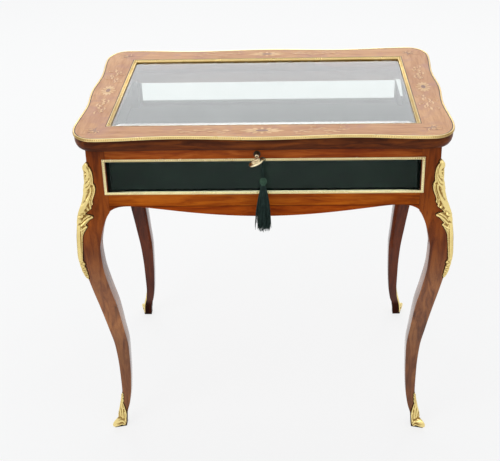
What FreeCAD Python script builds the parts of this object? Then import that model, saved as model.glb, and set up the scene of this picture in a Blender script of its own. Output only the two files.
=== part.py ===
import FreeCAD, Part
import math
import os
import re

import Sketcher

# Collectors display table: a glazed table case on four cabriole legs, with a hinged glazed lid.
# Millimetres. The case is centred on X = 0 and Y = mid_y, its feet stand on Z = 0, and +Z is up.
# The key side is the front and faces -Y.

SIZES = [
    ("mid_y", 13, "centre of the case along Y; the key stands out in front of it"),
    ("top_level", 760, "top of the lid above the floor"),
    ("lid_under", 725.4, "underside of the closed lid"),
    ("case_top", 725, "top of the case rails"),
    ("case_x", 369, "half width of the case"),
    ("case_y", 268, "half depth of the case"),
    ("post_side", 40, "side of the square corner posts"),
    ("rail_thick", 22, "thickness of rails and aprons"),
    ("window_low", 626, "lower edge of the window openings"),
    ("window_high", 702, "upper edge of the window openings"),
    ("pane_thick", 4, "window glass"),
    ("pane_set", 1, "depth of the window glass behind the outer face"),
    ("bead_wide", 7, "height of the velvet-covered glazing bead"),
    ("back_bead_tall", 16, "height of the bead over the back window"),
    ("frame_over", 7.4, "gilt window frame: overlap beyond the opening sideways"),
    ("frame_over_z", 3, "gilt window frame: overlap above and below the opening"),
    ("frame_wide", 6.4, "width of the gilt window frame"),
    ("frame_proud", 3.5, "thickness of the gilt window frame"),
    ("apron_mid", 569.5, "lowest point of the front apron"),
    ("apron_mid_side", 574, "lowest point of the side apron"),
    ("apron_arch", 594.5, "highest point of an apron's lower edge"),
    ("apron_end", 583, "lower edge of an apron at its post"),
    ("board_low", 612, "underside of the case board"),
    ("board_top", 622, "top of the case board"),
    ("cleat_side", 12, "square section of the cleats"),
    ("sight_x", 329, "half width of the gilt sight moulding"),
    ("sight_y", 220, "half depth of the gilt sight moulding"),
    ("open_x", 321.5, "half width of the lid's glazed opening"),
    ("open_y", 211, "half depth of the lid's glazed opening"),
    ("glass_low", 749.5, "underside of the lid glass"),
    ("glass_thick", 5, "thickness of the lid glass"),
    ("bevel_wide", 25, "width of the bevel on the lid glass"),
    ("bevel_deep", 2, "depth of the bevel on the lid glass"),
    ("crest_inset", 2.2, "width of the sight moulding's crest"),
    ("edge_wide", 4, "width of the gilt edge moulding"),
    ("edge_low", 753.5, "underside of the gilt edge moulding"),
    ("veneer_level", 759.2, "top of the veneered lid frame"),
    ("ovolo_top", 749, "where the lid's ovolo begins"),
    ("ovolo_full", 2.6, "fullness of the ovolo: 2 makes it a quarter of an ellipse"),
    ("fascia_in", 2.5, "inset of the lid's edge under the gilt moulding"),
    ("hinge_x", 230, "centre of each hinge from the middle"),
    ("hinge_long", 60, "length of a hinge"),
    ("hinge_off", 3.6, "hinge axis behind the case's back face"),
    ("hinge_rise", 0.2, "hinge axis above the case rails"),
    ("knuckle_r", 3.2, "hinge knuckle radius"),
    ("pin_r", 1.5, "hinge pin radius"),
    ("leaf_thick", 1.5, "hinge leaf thickness"),
    ("leaf_deep", 14, "hinge leaf on the wood, front to back"),
    ("key_x", -11, "key axis from the middle"),
    ("key_z", 713.5, "key axis above the floor"),
    ("bow_angle", 24, "tilt of the key's bow above the horizontal"),
    ("bow_start", 27, "bow's inner end in front of the case"),
    ("bow_long", 31, "bow length along the key"),
    ("bow_half", 16.5, "half width of the bow"),
    ("bow_thick", 4.2, "bow thickness"),
    ("bow_rim", 4.3, "width of the bow's rim"),
    ("shank_r", 3, "key shank radius"),
    ("post_r", 1.4, "lock's key post radius"),
    ("bit_reach", 5, "key bit from the key's axis"),
    ("lock_half", 25, "half width of the lock case"),
    ("lock_deep", 10.5, "depth of the lock case"),
    ("lock_low", 703, "underside of the lock case"),
    ("lock_wall", 1.2, "wall of the lock case"),
    ("selvedge_half", 31, "half width of the lock's top plate"),
    ("selvedge_thick", 1.5, "thickness of the lock's top plate"),
    ("staple_off", 17, "staple to the left of the key's axis"),
    ("staple_thick", 2, "staple thickness"),
    ("staple_low", 716.5, "foot of the staple"),
    ("link_half", 20, "half length of the link plate"),
    ("link_thick", 1.6, "link plate thickness"),
    ("loop_r", 4.7, "tassel loop, middle radius"),
    ("cord_r", 1.3, "tassel cord radius"),
    ("cord_long", 35, "tassel cord from the loop to the tassel head"),
    ("head_r", 7.9, "tassel head radius"),
    ("head_tall", 22, "tassel head and neck height"),
    ("skirt_tall", 99, "tassel skirt height"),
    ("skirt_r", 16.5, "tassel skirt radius at its hem"),
    ("section_gap", 20, "spacing of the sections through legs and castings"),
    ("post_foot", 583, "foot of the square part of the corner posts"),
    ("land_wide", 9, "flat strip of a post beside the window frames"),
    ("casting_seat", 0.1, "gap between a casting and the leg under it"),
]

# Shape of a leg from the top down: height, how far the outer corner stands out from the case
# corner, the inner edge of the front face measured from the middle of the case, and how far that
# edge stands forward of the case's face.
LEG_SHAPE = [
    (725, 0, 329, 0),
    (660, 0.3, 329, 0),
    (640, 2, 329, 0),
    (615, 7.5, 329, 0),
    (600, 13, 329, 0),
    (583, 20.5, 329, 0),
    (572, 23.8, 335.5, 3),
    (552, 27.2, 344, 9),
    (528, 29, 350, 15.5),
    (500, 28.8, 353.8, 22),
    (460, 24.3, 352, 22),
    (400, 14.3, 343.2, 14.3),
    (340, 2.6, 332.4, 2.6),
    (280, -8.3, 325.8, -8.3),
    (220, -17.8, 320.4, -17.8),
    (160, -21.3, 321.4, -21.3),
    (100, -22, 324.8, -22),
    (60, -18.5, 330.6, -18.5),
    (30, -11.5, 339, -11.5),
    (3, -9, 341, -9),
]

# Knee mount and sabot from the top down: height, how far it stands out at the corner, reach along
# each face, and thickness at its edges.
KNEE_MOUNT_SHAPE = [
    (699, 2, 3, 1),
    (684, 7.5, 9, 2.5),
    (655, 8.3, 12.5, 3.5),
    (638, 9, 17, 4),
    (615, 10.3, 18, 4),
    (594, 11, 18, 4),
    (571, 5.2, 27, 4),
    (548, 4.4, 14, 3.5),
    (520, 5, 9, 3),
    (475, 6.5, 6, 3),
    (450, 5.8, 5, 2.5),
    (427, 2.5, 3, 1),
]
SABOT_SHAPE = [
    (86, 1.5, 2.5, 1),
    (66, 3.5, 7, 1.5),
    (48, 3.8, 11, 2),
    (26, 6, 15.5, 2.5),
    (13, 12.5, 18, 3.5),
    (3, 11.5, 19, 3.5),
]

# Points of one quarter of the top's serpentine outline, from the middle of the right side to the
# middle of the front (front taken as +Y here; the outline is symmetrical), and the points of the
# lid's nearly straight lower contour that belong to them.
TOP_QUARTER = [
    (398, 0),
    (392.5, 95),
    (398.5, 205),
    (397.5, 238),
    (387.5, 268.5),
    (364, 289.5),
    (337, 293),
    (200, 282.5),
    (0, 291),
]
UNDER_QUARTER = [
    (373, 0),
    (373, 95),
    (373.5, 205),
    (373, 236),
    (368, 258),
    (352, 268.5),
    (333, 270.5),
    (200, 270.5),
    (0, 270.5),
]
OUTLINE_SAMPLES = 96

doc = FreeCAD.newDocument("collectors_display_table")
sheet = doc.addObject("Spreadsheet::Sheet", "sizes")
for row, (alias, number, note) in enumerate(SIZES, 1):
    sheet.set(f"A{row}", alias)
    sheet.set(f"B{row}", str(number))
    sheet.setAlias(f"B{row}", alias)
    sheet.set(f"C{row}", note)
doc.recompute()

ALIAS_WORDS = re.compile(r"\b(" + "|".join(alias for alias, _, _ in SIZES) + r")\b")
parts = []


def size(alias):
    """A driving dimension as a number."""
    return float(sheet.get(alias))


def bind(target, path, text):
    """Bind a property to an expression that names the sheet's aliases as plain words."""
    target.setExpression(path, ALIAS_WORDS.sub(r"sizes.\1", str(text)))


def keep(thing, label):
    """Name an object as one sub-part of the table."""
    thing.Label = label
    parts.append(thing)
    return thing


def new_body(name):
    body = doc.addObject("PartDesign::Body", name)
    bind(body, "Placement.Base.y", "mid_y")
    return body


def new_sketch(body, plane, offset="0"):
    """Sketch on one of the body's own origin planes, shifted along its normal."""
    sketch = body.newObject("Sketcher::SketchObject", body.Name + "_sketch")
    planes = [item for item in body.Origin.OriginFeatures if item.Role == plane]
    sketch.AttachmentSupport = [(planes[0], "")]
    sketch.MapMode = "FlatFace"
    bind(sketch, "AttachmentOffset.Base.z", offset)
    return sketch


def place_point(sketch, geometry, point, x, y):
    """Pin one point of a sketch to expressions for its two coordinates."""
    for kind, text in (("DistanceX", x), ("DistanceY", y)):
        index = sketch.addConstraint(Sketcher.Constraint(kind, -1, 1, geometry, point, 1.0))
        bind(sketch, f"Constraints[{index}]", text)


def add_rectangle(sketch, low_x, high_x, low_y, high_y):
    """Rectangle whose four sides are bound to expressions."""
    corners = [FreeCAD.Vector(x, y, 0) for x, y in ((0, 0), (9, 0), (9, 9), (0, 9))]
    first = sketch.GeometryCount
    for i in range(4):
        sketch.addGeometry(Part.LineSegment(corners[i], corners[(i + 1) % 4]), False)
    for i in range(4):
        following = first + (i + 1) % 4
        sketch.addConstraint(Sketcher.Constraint("Coincident", first + i, 2, following, 1))
    for i in (0, 2):
        sketch.addConstraint(Sketcher.Constraint("Horizontal", first + i))
        sketch.addConstraint(Sketcher.Constraint("Vertical", first + i + 1))
    place_point(sketch, first, 1, low_x, low_y)
    place_point(sketch, first + 2, 1, high_x, high_y)


def add_circle(sketch, x, y, radius):
    """Circle whose centre and radius are bound to expressions."""
    circle = Part.Circle(FreeCAD.Vector(1, 1, 0), FreeCAD.Vector(0, 0, 1), 2)
    index = sketch.addGeometry(circle, False)
    place_point(sketch, index, 3, x, y)
    radius_index = sketch.addConstraint(Sketcher.Constraint("Radius", index, 2.0))
    bind(sketch, f"Constraints[{radius_index}]", radius)


def add_polygon(sketch, points):
    """Closed run of straight lines."""
    first = sketch.GeometryCount
    count = len(points)
    vectors = [FreeCAD.Vector(x, y, 0) for x, y in points]
    for i in range(count):
        sketch.addGeometry(Part.LineSegment(vectors[i], vectors[(i + 1) % count]), False)
    for i in range(count):
        following = first + (i + 1) % count
        sketch.addConstraint(Sketcher.Constraint("Coincident", first + i, 2, following, 1))


def pad(body, sketch, length, middle=False):
    feature = body.newObject("PartDesign::Pad", body.Name + "_pad")
    feature.Profile = sketch
    feature.Midplane = middle
    bind(feature, "Length", length)
    doc.recompute()
    return feature


def pocket(body, sketch, length):
    """Cut that is turned round if it would point away from the solid."""
    before = body.Shape.Volume
    feature = body.newObject("PartDesign::Pocket", body.Name + "_pocket")
    feature.Profile = sketch
    bind(feature, "Length", length)
    doc.recompute()
    if body.Shape.Volume > before - 0.01:
        feature.Reversed = True
        doc.recompute()
    if body.Shape.Volume > before - 0.01:
        raise RuntimeError(body.Name + ": a pocket cuts nothing")
    return feature


def loft(body, kind, sketches, ruled=False):
    feature = body.newObject(kind, body.Name + "_loft")
    feature.Profile = sketches[0]
    feature.Sections = sketches[1:]
    feature.Ruled = ruled
    doc.recompute()
    return feature


def mirrored(source, name, across):
    """Mirror image of a part across the case's middle plane, X or Y."""
    copy = doc.addObject("Part::Mirroring", name)
    copy.Source = source
    copy.Normal = FreeCAD.Vector(1, 0, 0) if across == "X" else FreeCAD.Vector(0, 1, 0)
    bind(copy, "Base.y", "mid_y")
    doc.recompute()
    return copy


def compound(name, members):
    group = doc.addObject("Part::Compound", name)
    group.Links = members
    doc.recompute()
    return group


def cut(name, base, tool):
    result = doc.addObject("Part::Cut", name)
    result.Base = base
    result.Tool = tool
    doc.recompute()
    return result


def box(name, low_x, high_x, low_y, high_y, low_z, high_z):
    """Part box between bound limits, in the case's centred frame."""
    solid = doc.addObject("Part::Box", name)
    bind(solid, "Length", f"({high_x}) - ({low_x})")
    bind(solid, "Width", f"({high_y}) - ({low_y})")
    bind(solid, "Height", f"({high_z}) - ({low_z})")
    bind(solid, "Placement.Base.x", low_x)
    bind(solid, "Placement.Base.y", f"({low_y}) + mid_y")
    bind(solid, "Placement.Base.z", low_z)
    doc.recompute()
    return solid


def shaped(name, shape):
    """Sub-part whose shape is worked out with Part's own functions in the case's centred frame."""
    feature = doc.addObject("Part::Feature", name)
    feature.Shape = shape
    bind(feature, "Placement.Base.y", "mid_y")
    doc.recompute()
    return feature


# ---------------------------------------------------------------------------------------------
# Legs, knee mounts and sabots: the front left one is built, the others are its mirror images.
# In a leg's sections, plan coordinates are distances from the middle of the case.
# ---------------------------------------------------------------------------------------------


def column_slopes(rows, column):
    """Slope at each row that keeps the curve through a column free of overshoot."""
    steps = [(b[column] - a[column]) / (b[0] - a[0]) for a, b in zip(rows, rows[1:])]
    slopes = [steps[0]]
    for before, after in zip(steps, steps[1:]):
        same_way = before * after > 0
        slopes.append(2 * before * after / (before + after) if same_way else 0)
    return slopes + [steps[-1]]


def shape_at(rows, height):
    """Row of a shape table at any height, on a smooth curve through the given rows."""
    index = 0
    while index < len(rows) - 2 and height < rows[index + 1][0]:
        index += 1
    upper, lower = rows[index], rows[index + 1]
    span = lower[0] - upper[0]
    share = (height - upper[0]) / span
    result = [height]
    for column in range(1, len(upper)):
        slopes = column_slopes(rows, column)
        bend = share * share * (3 - 2 * share)
        leave = share * (1 - share) ** 2 * span * slopes[index]
        arrive = -share * share * (1 - share) * span * slopes[index + 1]
        result.append(upper[column] + bend * (lower[column] - upper[column]) + leave + arrive)
    return result


def section_levels(rows, spacing):
    """Even heights from a shape table's first row to its last."""
    top, bottom = rows[0][0], rows[-1][0]
    count = math.ceil(abs(top - bottom) / spacing)
    return [top + (bottom - top) * i / count for i in range(count + 1)]


def leg_levels():
    """Heights of the sections through a leg, one of them at the foot of the square post."""
    even = section_levels(LEG_SHAPE, size("section_gap"))
    return sorted(even + [size("post_foot")], reverse=True)


def leg_plan(height):
    """Plan of the front left leg at a height: outer corner, then round over the front face.

    The faces that show are flat beside the windows and then turn out to the corner. The turn
    fades out below the case.
    """
    levels = leg_levels()
    above = min(level for level in levels if level >= height - 0.001)
    below = max(level for level in levels if level <= height + 0.001)
    share = 0 if above - below < 0.01 else (height - below) / (above - below)
    low, high = shape_at(LEG_SHAPE, below), shape_at(LEG_SHAPE, above)
    outer, inner, forward = [a + share * (b - a) for a, b in zip(low[1:], high[1:])]
    case_x, case_y = size("case_x"), size("case_y")
    inner_y = inner - (case_x - case_y)
    land = size("land_wide")
    fade = min(1, max(0, (size("post_foot") - height) / 40))
    rise = forward + fade * (outer - forward) * land / (case_x + outer - inner)
    return [
        (-case_x - outer, -case_y - outer),
        (-inner - land, -case_y - rise),
        (-inner, -case_y - forward),
        (-inner, -inner_y),
        (-case_x - forward, -inner_y),
        (-case_x - rise, -inner_y - land),
    ]


def section_sketch(body, height, points):
    sketch = new_sketch(body, "XY_Plane", height)
    add_polygon(sketch, points)
    return sketch


def build_leg():
    body = new_body("leg_front_left")
    sections = [section_sketch(body, level, leg_plan(level)) for level in leg_levels()]
    loft(body, "PartDesign::AdditiveLoft", sections, True)
    return body


def casting_plan(rows, height):
    """L-shaped plan of a casting that lies on the leg's two outer faces."""
    _, stand, reach, edge = shape_at(rows, height)
    plan = leg_plan(height)
    seat = size("casting_seat")
    corner_x, corner_y = [value - seat for value in plan[0]]
    front_x, front_y = plan[1]
    side_x, side_y = plan[5]
    on_front = corner_y + reach / (front_x - corner_x) * (front_y - seat - corner_y)
    on_side = corner_x + reach / (side_y - corner_y) * (side_x - seat - corner_x)
    return [
        (corner_x - stand, corner_y - stand),
        (corner_x + reach, on_front - edge),
        (corner_x + reach, on_front),
        (corner_x, corner_y),
        (on_side, corner_y + reach),
        (on_side - edge, corner_y + reach),
    ]


def build_casting(name, rows):
    """Gilt casting that wraps the leg's outer corner."""
    body = new_body(name + "_front_left")
    top, bottom = rows[0][0], rows[-1][0]
    levels = [top] + [level for level in leg_levels() if bottom < level < top] + [bottom]
    sections = [section_sketch(body, level, casting_plan(rows, level)) for level in levels]
    loft(body, "PartDesign::AdditiveLoft", sections, True)
    return body


def build_sabot():
    """Gilt shoe: a sole under the leg's end and a casting that climbs its outer corner."""
    body = build_casting("sabot", SABOT_SHAPE)
    height, stand, _, edge = SABOT_SHAPE[-1]
    plan = leg_plan(height)
    outer, inner = plan[0], plan[3]
    sole = section_sketch(
        body,
        0,
        [
            (outer[0] - stand, outer[1] - stand),
            (inner[0], outer[1] - edge),
            inner,
            (outer[0] - edge, inner[1]),
        ],
    )
    pad(body, sole, f"{height}")
    return body


def four_corners(stem, first):
    """Keep a front left part and its three mirror images."""
    right = mirrored(first, f"{stem}_front_right", "X")
    keep(first, f"{stem}_front_left")
    keep(right, f"{stem}_front_right")
    keep(mirrored(first, f"{stem}_back_left", "Y"), f"{stem}_back_left")
    keep(mirrored(right, f"{stem}_back_right", "Y"), f"{stem}_back_right")


# ---------------------------------------------------------------------------------------------
# Walls of the case. Each wall part is drawn in its wall's plane and padded outwards.
# ---------------------------------------------------------------------------------------------

WALLS = {
    "front": ("XZ_Plane", "case_x - post_side", "case_y"),
    "right": ("YZ_Plane", "case_y - post_side", "case_x"),
}


def wall_layer(name, wall, rectangles, outer, thick):
    """Pad of one or two nested rectangles, with its outer side at a depth behind the wall's face."""
    plane, half, face = WALLS[wall]
    body = new_body(name)
    sketch = new_sketch(body, plane, f"{face} - ({outer}) - ({thick})")
    for side, low, high in rectangles:
        add_rectangle(sketch, f"-({half}) - ({side})", f"{half} + ({side})", low, high)
    pad(body, sketch, thick)
    return body


def build_apron(name, wall, middle):
    """Board whose lower edge falls in a cyma curve from each post to the middle."""
    plane, _, face = WALLS[wall]
    half = size("case_x") if wall == "front" else size("case_y")
    half -= size("post_side")
    body = new_body(name)
    sketch = new_sketch(body, plane, f"{face} - rail_thick")
    arch = size("apron_arch")
    end = size("apron_end")
    drop = arch - size(middle)
    shoulder = half - 38
    quarter = [
        (half, end),
        (half - 13, end + 0.65 * (arch - end)),
        (shoulder, arch),
        (shoulder * 0.85, arch - 0.14 * drop),
        (shoulder * 0.62, arch - 0.5 * drop),
        (shoulder * 0.33, arch - 0.85 * drop),
    ]
    low = size(middle)
    lower_edge = [(-x, z) for x, z in quarter] + [(0, low)] + [(x, z) for x, z in reversed(quarter)]
    curve = Part.BSplineCurve()
    curve.interpolate([FreeCAD.Vector(x, z, 0) for x, z in lower_edge])
    sketch.addGeometry(curve, False)
    top = size("window_low")
    corners = [(half, end), (half, top), (-half, top), (-half, end)]
    for start, finish in zip(corners, corners[1:]):
        line = Part.LineSegment(FreeCAD.Vector(*start, 0), FreeCAD.Vector(*finish, 0))
        sketch.addGeometry(line, False)
    pad(body, sketch, "rail_thick")
    return body


def build_bead(name, wall, tall_above):
    """Bead round the inside of a window, flush with the rails' inner faces."""
    return wall_layer(
        name,
        wall,
        [
            ("0", "window_low", "window_high"),
            ("-bead_wide", "window_low + bead_wide", f"window_high - {tall_above}"),
        ],
        "pane_set + pane_thick",
        "rail_thick - pane_set - pane_thick",
    )


def build_walls():
    beads = []
    for wall, opposite, over_opposite in (
        ("front", "back", "back_bead_tall"),
        ("right", "left", "bead_wide"),
    ):
        across = "Y" if wall == "front" else "X"
        middle = "apron_mid" if wall == "front" else "apron_mid_side"
        apron = build_apron(f"apron_{wall}", wall, middle)
        frame = wall_layer(
            f"window_frame_{wall}",
            wall,
            [
                ("frame_over", "window_low - frame_over_z", "window_high + frame_over_z"),
                (
                    "frame_over - frame_wide",
                    "window_low - frame_over_z + frame_wide",
                    "window_high + frame_over_z - frame_wide",
                ),
            ],
            "-frame_proud",
            "frame_proud",
        )
        pane = wall_layer(
            f"window_pane_{wall}",
            wall,
            [("0", "window_low", "window_high")],
            "pane_set",
            "pane_thick",
        )
        bead = build_bead(f"bead_{wall}", wall, "bead_wide")
        other_bead = build_bead(f"bead_{opposite}_blank", wall, over_opposite)
        for part, stem in ((apron, "apron"), (frame, "window_frame"), (pane, "window_pane")):
            keep(part, f"{stem}_{wall}")
            keep(mirrored(part, f"{stem}_{opposite}", across), f"{stem}_{opposite}")
        beads += [bead, mirrored(other_bead, f"bead_{opposite}", across)]
    keep(compound("glazing_beads", beads), "glazing_beads")


def build_top_rails(lock_screws, hinge_screws):
    """Front rail with the lock let in, back rail with the hinge leaves let in, plain side rails."""
    window_top = [("0", "window_high", "case_top")]
    front = wall_layer("front_rail_blank", "front", window_top, "0", "rail_thick")
    mortise = new_sketch(front, "XZ_Plane", "case_y - rail_thick")
    add_rectangle(mortise, "key_x - lock_half", "key_x + lock_half", "lock_low", "case_top")
    pocket(front, mortise, "lock_deep")
    seat = new_sketch(front, "XY_Plane", "case_top")
    seat_y = "-case_y + rail_thick"
    add_rectangle(
        seat, "key_x - selvedge_half", "key_x + selvedge_half", f"{seat_y} - lock_deep", seat_y
    )
    pocket(front, seat, "selvedge_thick")
    hole = new_sketch(front, "XZ_Plane", "case_y")
    add_circle(hole, "key_x", "key_z", "shank_r + 1.2")
    pocket(front, hole, "rail_thick")
    slot = new_sketch(front, "XZ_Plane", "case_y")
    add_rectangle(slot, "key_x - 1.6", "key_x + 1.6", "key_z - bit_reach - 1", "key_z")
    pocket(front, slot, "rail_thick")
    keep(cut("top_rail_front", front, lock_screws), "top_rail_front")

    back = new_body("back_rail_blank")
    outline = new_sketch(back, "XZ_Plane", "-case_y")
    add_rectangle(
        outline, "-(case_x - post_side)", "case_x - post_side", "window_high", "case_top"
    )
    pad(back, outline, "rail_thick")
    for side in ("-", ""):
        gain = new_sketch(back, "XY_Plane", "case_top")
        add_rectangle(
            gain,
            f"{side}hinge_x - hinge_long / 2",
            f"{side}hinge_x + hinge_long / 2",
            "case_y - leaf_deep",
            "case_y",
        )
        pocket(back, gain, "leaf_thick")
    keep(cut("top_rail_back", back, hinge_screws), "top_rail_back")

    right = wall_layer("top_rail_right", "right", window_top, "0", "rail_thick")
    keep(right, "top_rail_right")
    keep(mirrored(right, "top_rail_left", "X"), "top_rail_left")


def floor_outline():
    """Case floor inside the walls, notched round the four posts."""
    wide = size("case_x") - size("rail_thick")
    deep = size("case_y") - size("rail_thick")
    post_x = size("case_x") - size("post_side")
    post_y = size("case_y") - size("post_side")
    quarter = [(wide, 0), (wide, post_y), (post_x, post_y), (post_x, deep), (0, deep)]
    right_half = quarter[1:4] + [(x, -y) for x, y in reversed(quarter[1:4])]
    left_half = [(-x, -y) for x, y in right_half]
    return [right_half[2], right_half[1], right_half[0]] + right_half[:2:-1] + (
        [left_half[2], left_half[1], left_half[0]] + left_half[:2:-1]
    )


def build_floor():
    for name, low, high in (
        ("case_board", "board_low", "board_top"),
        ("velvet_lining", "board_top", "window_low"),
    ):
        body = new_body(name)
        sketch = new_sketch(body, "XY_Plane", low)
        add_polygon(sketch, floor_outline())
        pad(body, sketch, f"{high} - {low}")
        keep(body, name)
    low_z = "board_low - cleat_side"
    inner_x = "case_x - rail_thick"
    inner_y = "case_y - rail_thick"
    long_x, long_y = "290", "190"
    spans = {
        "front": ("-" + long_x, long_x, f"-({inner_y})", f"cleat_side - ({inner_y})"),
        "back": ("-" + long_x, long_x, f"{inner_y} - cleat_side", inner_y),
        "left": (f"-({inner_x})", f"cleat_side - ({inner_x})", "-" + long_y, long_y),
        "right": (f"{inner_x} - cleat_side", inner_x, "-" + long_y, long_y),
    }
    cleats = [box(f"cleat_{side}", *span, low_z, "board_low") for side, span in spans.items()]
    keep(compound("floor_cleats", cleats), "floor_cleats")


# ---------------------------------------------------------------------------------------------
# Lid
# ---------------------------------------------------------------------------------------------


def closed_curve(points):
    """Smooth closed curve through points, with the parameters where one turn starts and ends.

    The curve goes round with some points to spare, so its seam is as smooth as the rest.
    """
    spare, count = 6, len(points)
    path = [points[i % count] for i in range(-spare, count + spare + 1)]
    run = [0.0]
    for before, after in zip(path, path[1:]):
        run.append(run[-1] + (after - before).Length)
    curve = Part.BSplineCurve()
    curve.interpolate(path, Parameters=run)
    return curve, run[spare], run[spare + count]


def top_outline(inset, level, under=0):
    """Closed outline of the lid at one level, moved inwards along its normal.

    It is the top's serpentine where under is 0 and the lid's lower contour where under is 1.
    """
    quarter = [
        (x + under * (low_x - x), y + under * (low_y - y))
        for (x, y), (low_x, low_y) in zip(TOP_QUARTER, UNDER_QUARTER)
    ]
    right = [(x, -y) for x, y in reversed(quarter)][:-1] + quarter[:-1]
    loop = right + [(-x, -y) for x, y in right]
    curve, first, last = closed_curve([FreeCAD.Vector(x, y, 0) for x, y in loop])
    moved = []
    for step in range(OUTLINE_SAMPLES):
        place = first + (last - first) * step / OUTLINE_SAMPLES
        point = curve.value(place)
        along = curve.tangent(place)[0]
        inward = FreeCAD.Vector(-along.y, along.x, 0)
        moved.append(FreeCAD.Vector(point.x, point.y, level) + inward * inset)
    offset_curve = Part.BSplineCurve()
    offset_curve.interpolate(moved, PeriodicFlag=True)
    return Part.Wire(offset_curve.toShape())


def outline_loft(profile):
    """Solid through outlines given as the values of top_outline, from one level to the next."""
    return Part.makeLoft([top_outline(*values) for values in profile], True, True)


def rectangle_prism(half_x, half_y, low, high):
    prism = Part.makeBox(2 * half_x, 2 * half_y, high - low)
    prism.translate(FreeCAD.Vector(-half_x, -half_y, low))
    return prism


def lid_frame_ring():
    """The lid's wooden frame in one piece: ovolo edge, flat top, rebate for glass and moulding."""
    steps = 6
    fascia = size("fascia_in")
    rise = size("ovolo_top") - size("lid_under")
    bend = 2 / size("ovolo_full")
    profile = [(0, size("lid_under"), 1)]
    for i in range(1, steps + 1):
        turn = math.radians(90) * (1 - i / steps)
        under = 1 - math.cos(turn) ** bend
        level = size("ovolo_top") - rise * math.sin(turn) ** bend
        profile.append((fascia * (1 - under), level, under))
    profile.append((fascia, size("edge_low"), 0))
    edge = size("edge_wide")
    upper = outline_loft([(edge, size("edge_low")), (edge, size("veneer_level"))])
    ring = outline_loft(profile).fuse(upper)
    ring = ring.cut(rectangle_prism(size("open_x"), size("open_y"), 700, 800))
    return ring.cut(rectangle_prism(size("sight_x"), size("sight_y"), size("glass_low"), 800))


def mitre_sector(side):
    """Prism that cuts one mitred rail out of the ring: front, back, left or right."""
    reach = 150
    near_x, near_y = size("open_x"), size("open_y")
    far_x, far_y = near_x + reach, near_y + reach
    plans = {
        "front": [(-near_x, -near_y), (-far_x, -far_y), (far_x, -far_y), (near_x, -near_y)],
        "back": [(-near_x, near_y), (-far_x, far_y), (far_x, far_y), (near_x, near_y)],
        "left": [(-near_x, -near_y), (-far_x, -far_y), (-far_x, far_y), (-near_x, near_y)],
        "right": [(near_x, -near_y), (far_x, -far_y), (far_x, far_y), (near_x, near_y)],
    }
    corners = [FreeCAD.Vector(x, y, 700) for x, y in plans[side]]
    face = Part.Face(Part.makePolygon(corners + [corners[0]]))
    return face.extrude(FreeCAD.Vector(0, 0, 100))


def hinge_recesses():
    """Room in the lid's back rail for the hinge leaves and round the knuckles."""
    axis_y = size("case_y") + size("hinge_off")
    axis_z = size("case_top") + size("hinge_rise")
    long = size("hinge_long")
    clear = 0.7
    shapes = []
    for side in (-1, 1):
        start = side * size("hinge_x") - long / 2
        leaf = Part.makeBox(long, size("leaf_deep") + clear, size("leaf_thick"))
        leaf_y = size("case_y") - size("leaf_deep")
        leaf.translate(FreeCAD.Vector(start, leaf_y, size("lid_under")))
        round_room = Part.makeCylinder(
            size("knuckle_r") + clear,
            long + 2,
            FreeCAD.Vector(start - 1, axis_y, axis_z),
            FreeCAD.Vector(1, 0, 0),
        )
        shapes += [leaf, round_room]
    return shapes


def build_lid_frame(hinge_screws, link_screws):
    ring = lid_frame_ring()
    link_x = size("key_x") - size("staple_off")
    link_room = Part.makeBox(2 * size("link_half"), 14, size("link_thick"))
    lock_mid = -size("case_y") + size("rail_thick") - size("lock_deep") / 2
    link_room.translate(
        FreeCAD.Vector(link_x - size("link_half"), lock_mid - 7, size("lid_under"))
    )
    rooms = {"front": [link_room], "back": hinge_recesses(), "left": [], "right": []}
    screws = {"front": link_screws, "back": hinge_screws}
    for side, cuts in rooms.items():
        rail = ring.common(mitre_sector(side))
        for room in cuts:
            rail = rail.cut(room)
        part = shaped(f"lid_rail_{side}_blank" if side in screws else f"lid_rail_{side}", rail)
        if side in screws:
            part = cut(f"lid_rail_{side}", part, screws[side])
        keep(part, f"lid_rail_{side}")


def build_gilt_edge():
    """Gilt moulding round the lid's edge, with a rounded outer side."""
    low, high = size("edge_low"), size("top_level")
    outer = outline_loft([(1.2, low), (0, low + 1.4), (0, high - 1.8), (0.5, high - 0.6), (1.4, high)])
    edge = size("edge_wide")
    inner = outline_loft([(edge, low - 1), (edge, high + 1)])
    keep(shaped("lid_gilt_edge", outer.cut(inner)), "lid_gilt_edge")


def build_sight_moulding():
    """Gilt frame that holds the lid glass: a flat crest that slopes down to the glass."""
    body = new_body("lid_sight_moulding")
    low = "glass_low + glass_thick - bevel_deep + 0.8"
    base = new_sketch(body, "XY_Plane", low)
    add_rectangle(base, "-sight_x", "sight_x", "-sight_y", "sight_y")
    pad(body, base, f"top_level - ({low})")
    through = new_sketch(body, "XY_Plane", "top_level")
    add_rectangle(through, "-open_x", "open_x", "-open_y", "open_y")
    pocket(body, through, f"top_level - ({low})")
    foot = new_sketch(body, "XY_Plane", f"{low} + 1.2")
    add_rectangle(foot, "-open_x", "open_x", "-open_y", "open_y")
    crest = new_sketch(body, "XY_Plane", "top_level")
    crest_x, crest_y = "sight_x - crest_inset", "sight_y - crest_inset"
    add_rectangle(crest, f"-({crest_x})", crest_x, f"-({crest_y})", crest_y)
    doc.recompute()
    loft(body, "PartDesign::SubtractiveLoft", [foot, crest], True)
    keep(body, "lid_sight_moulding")


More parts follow.
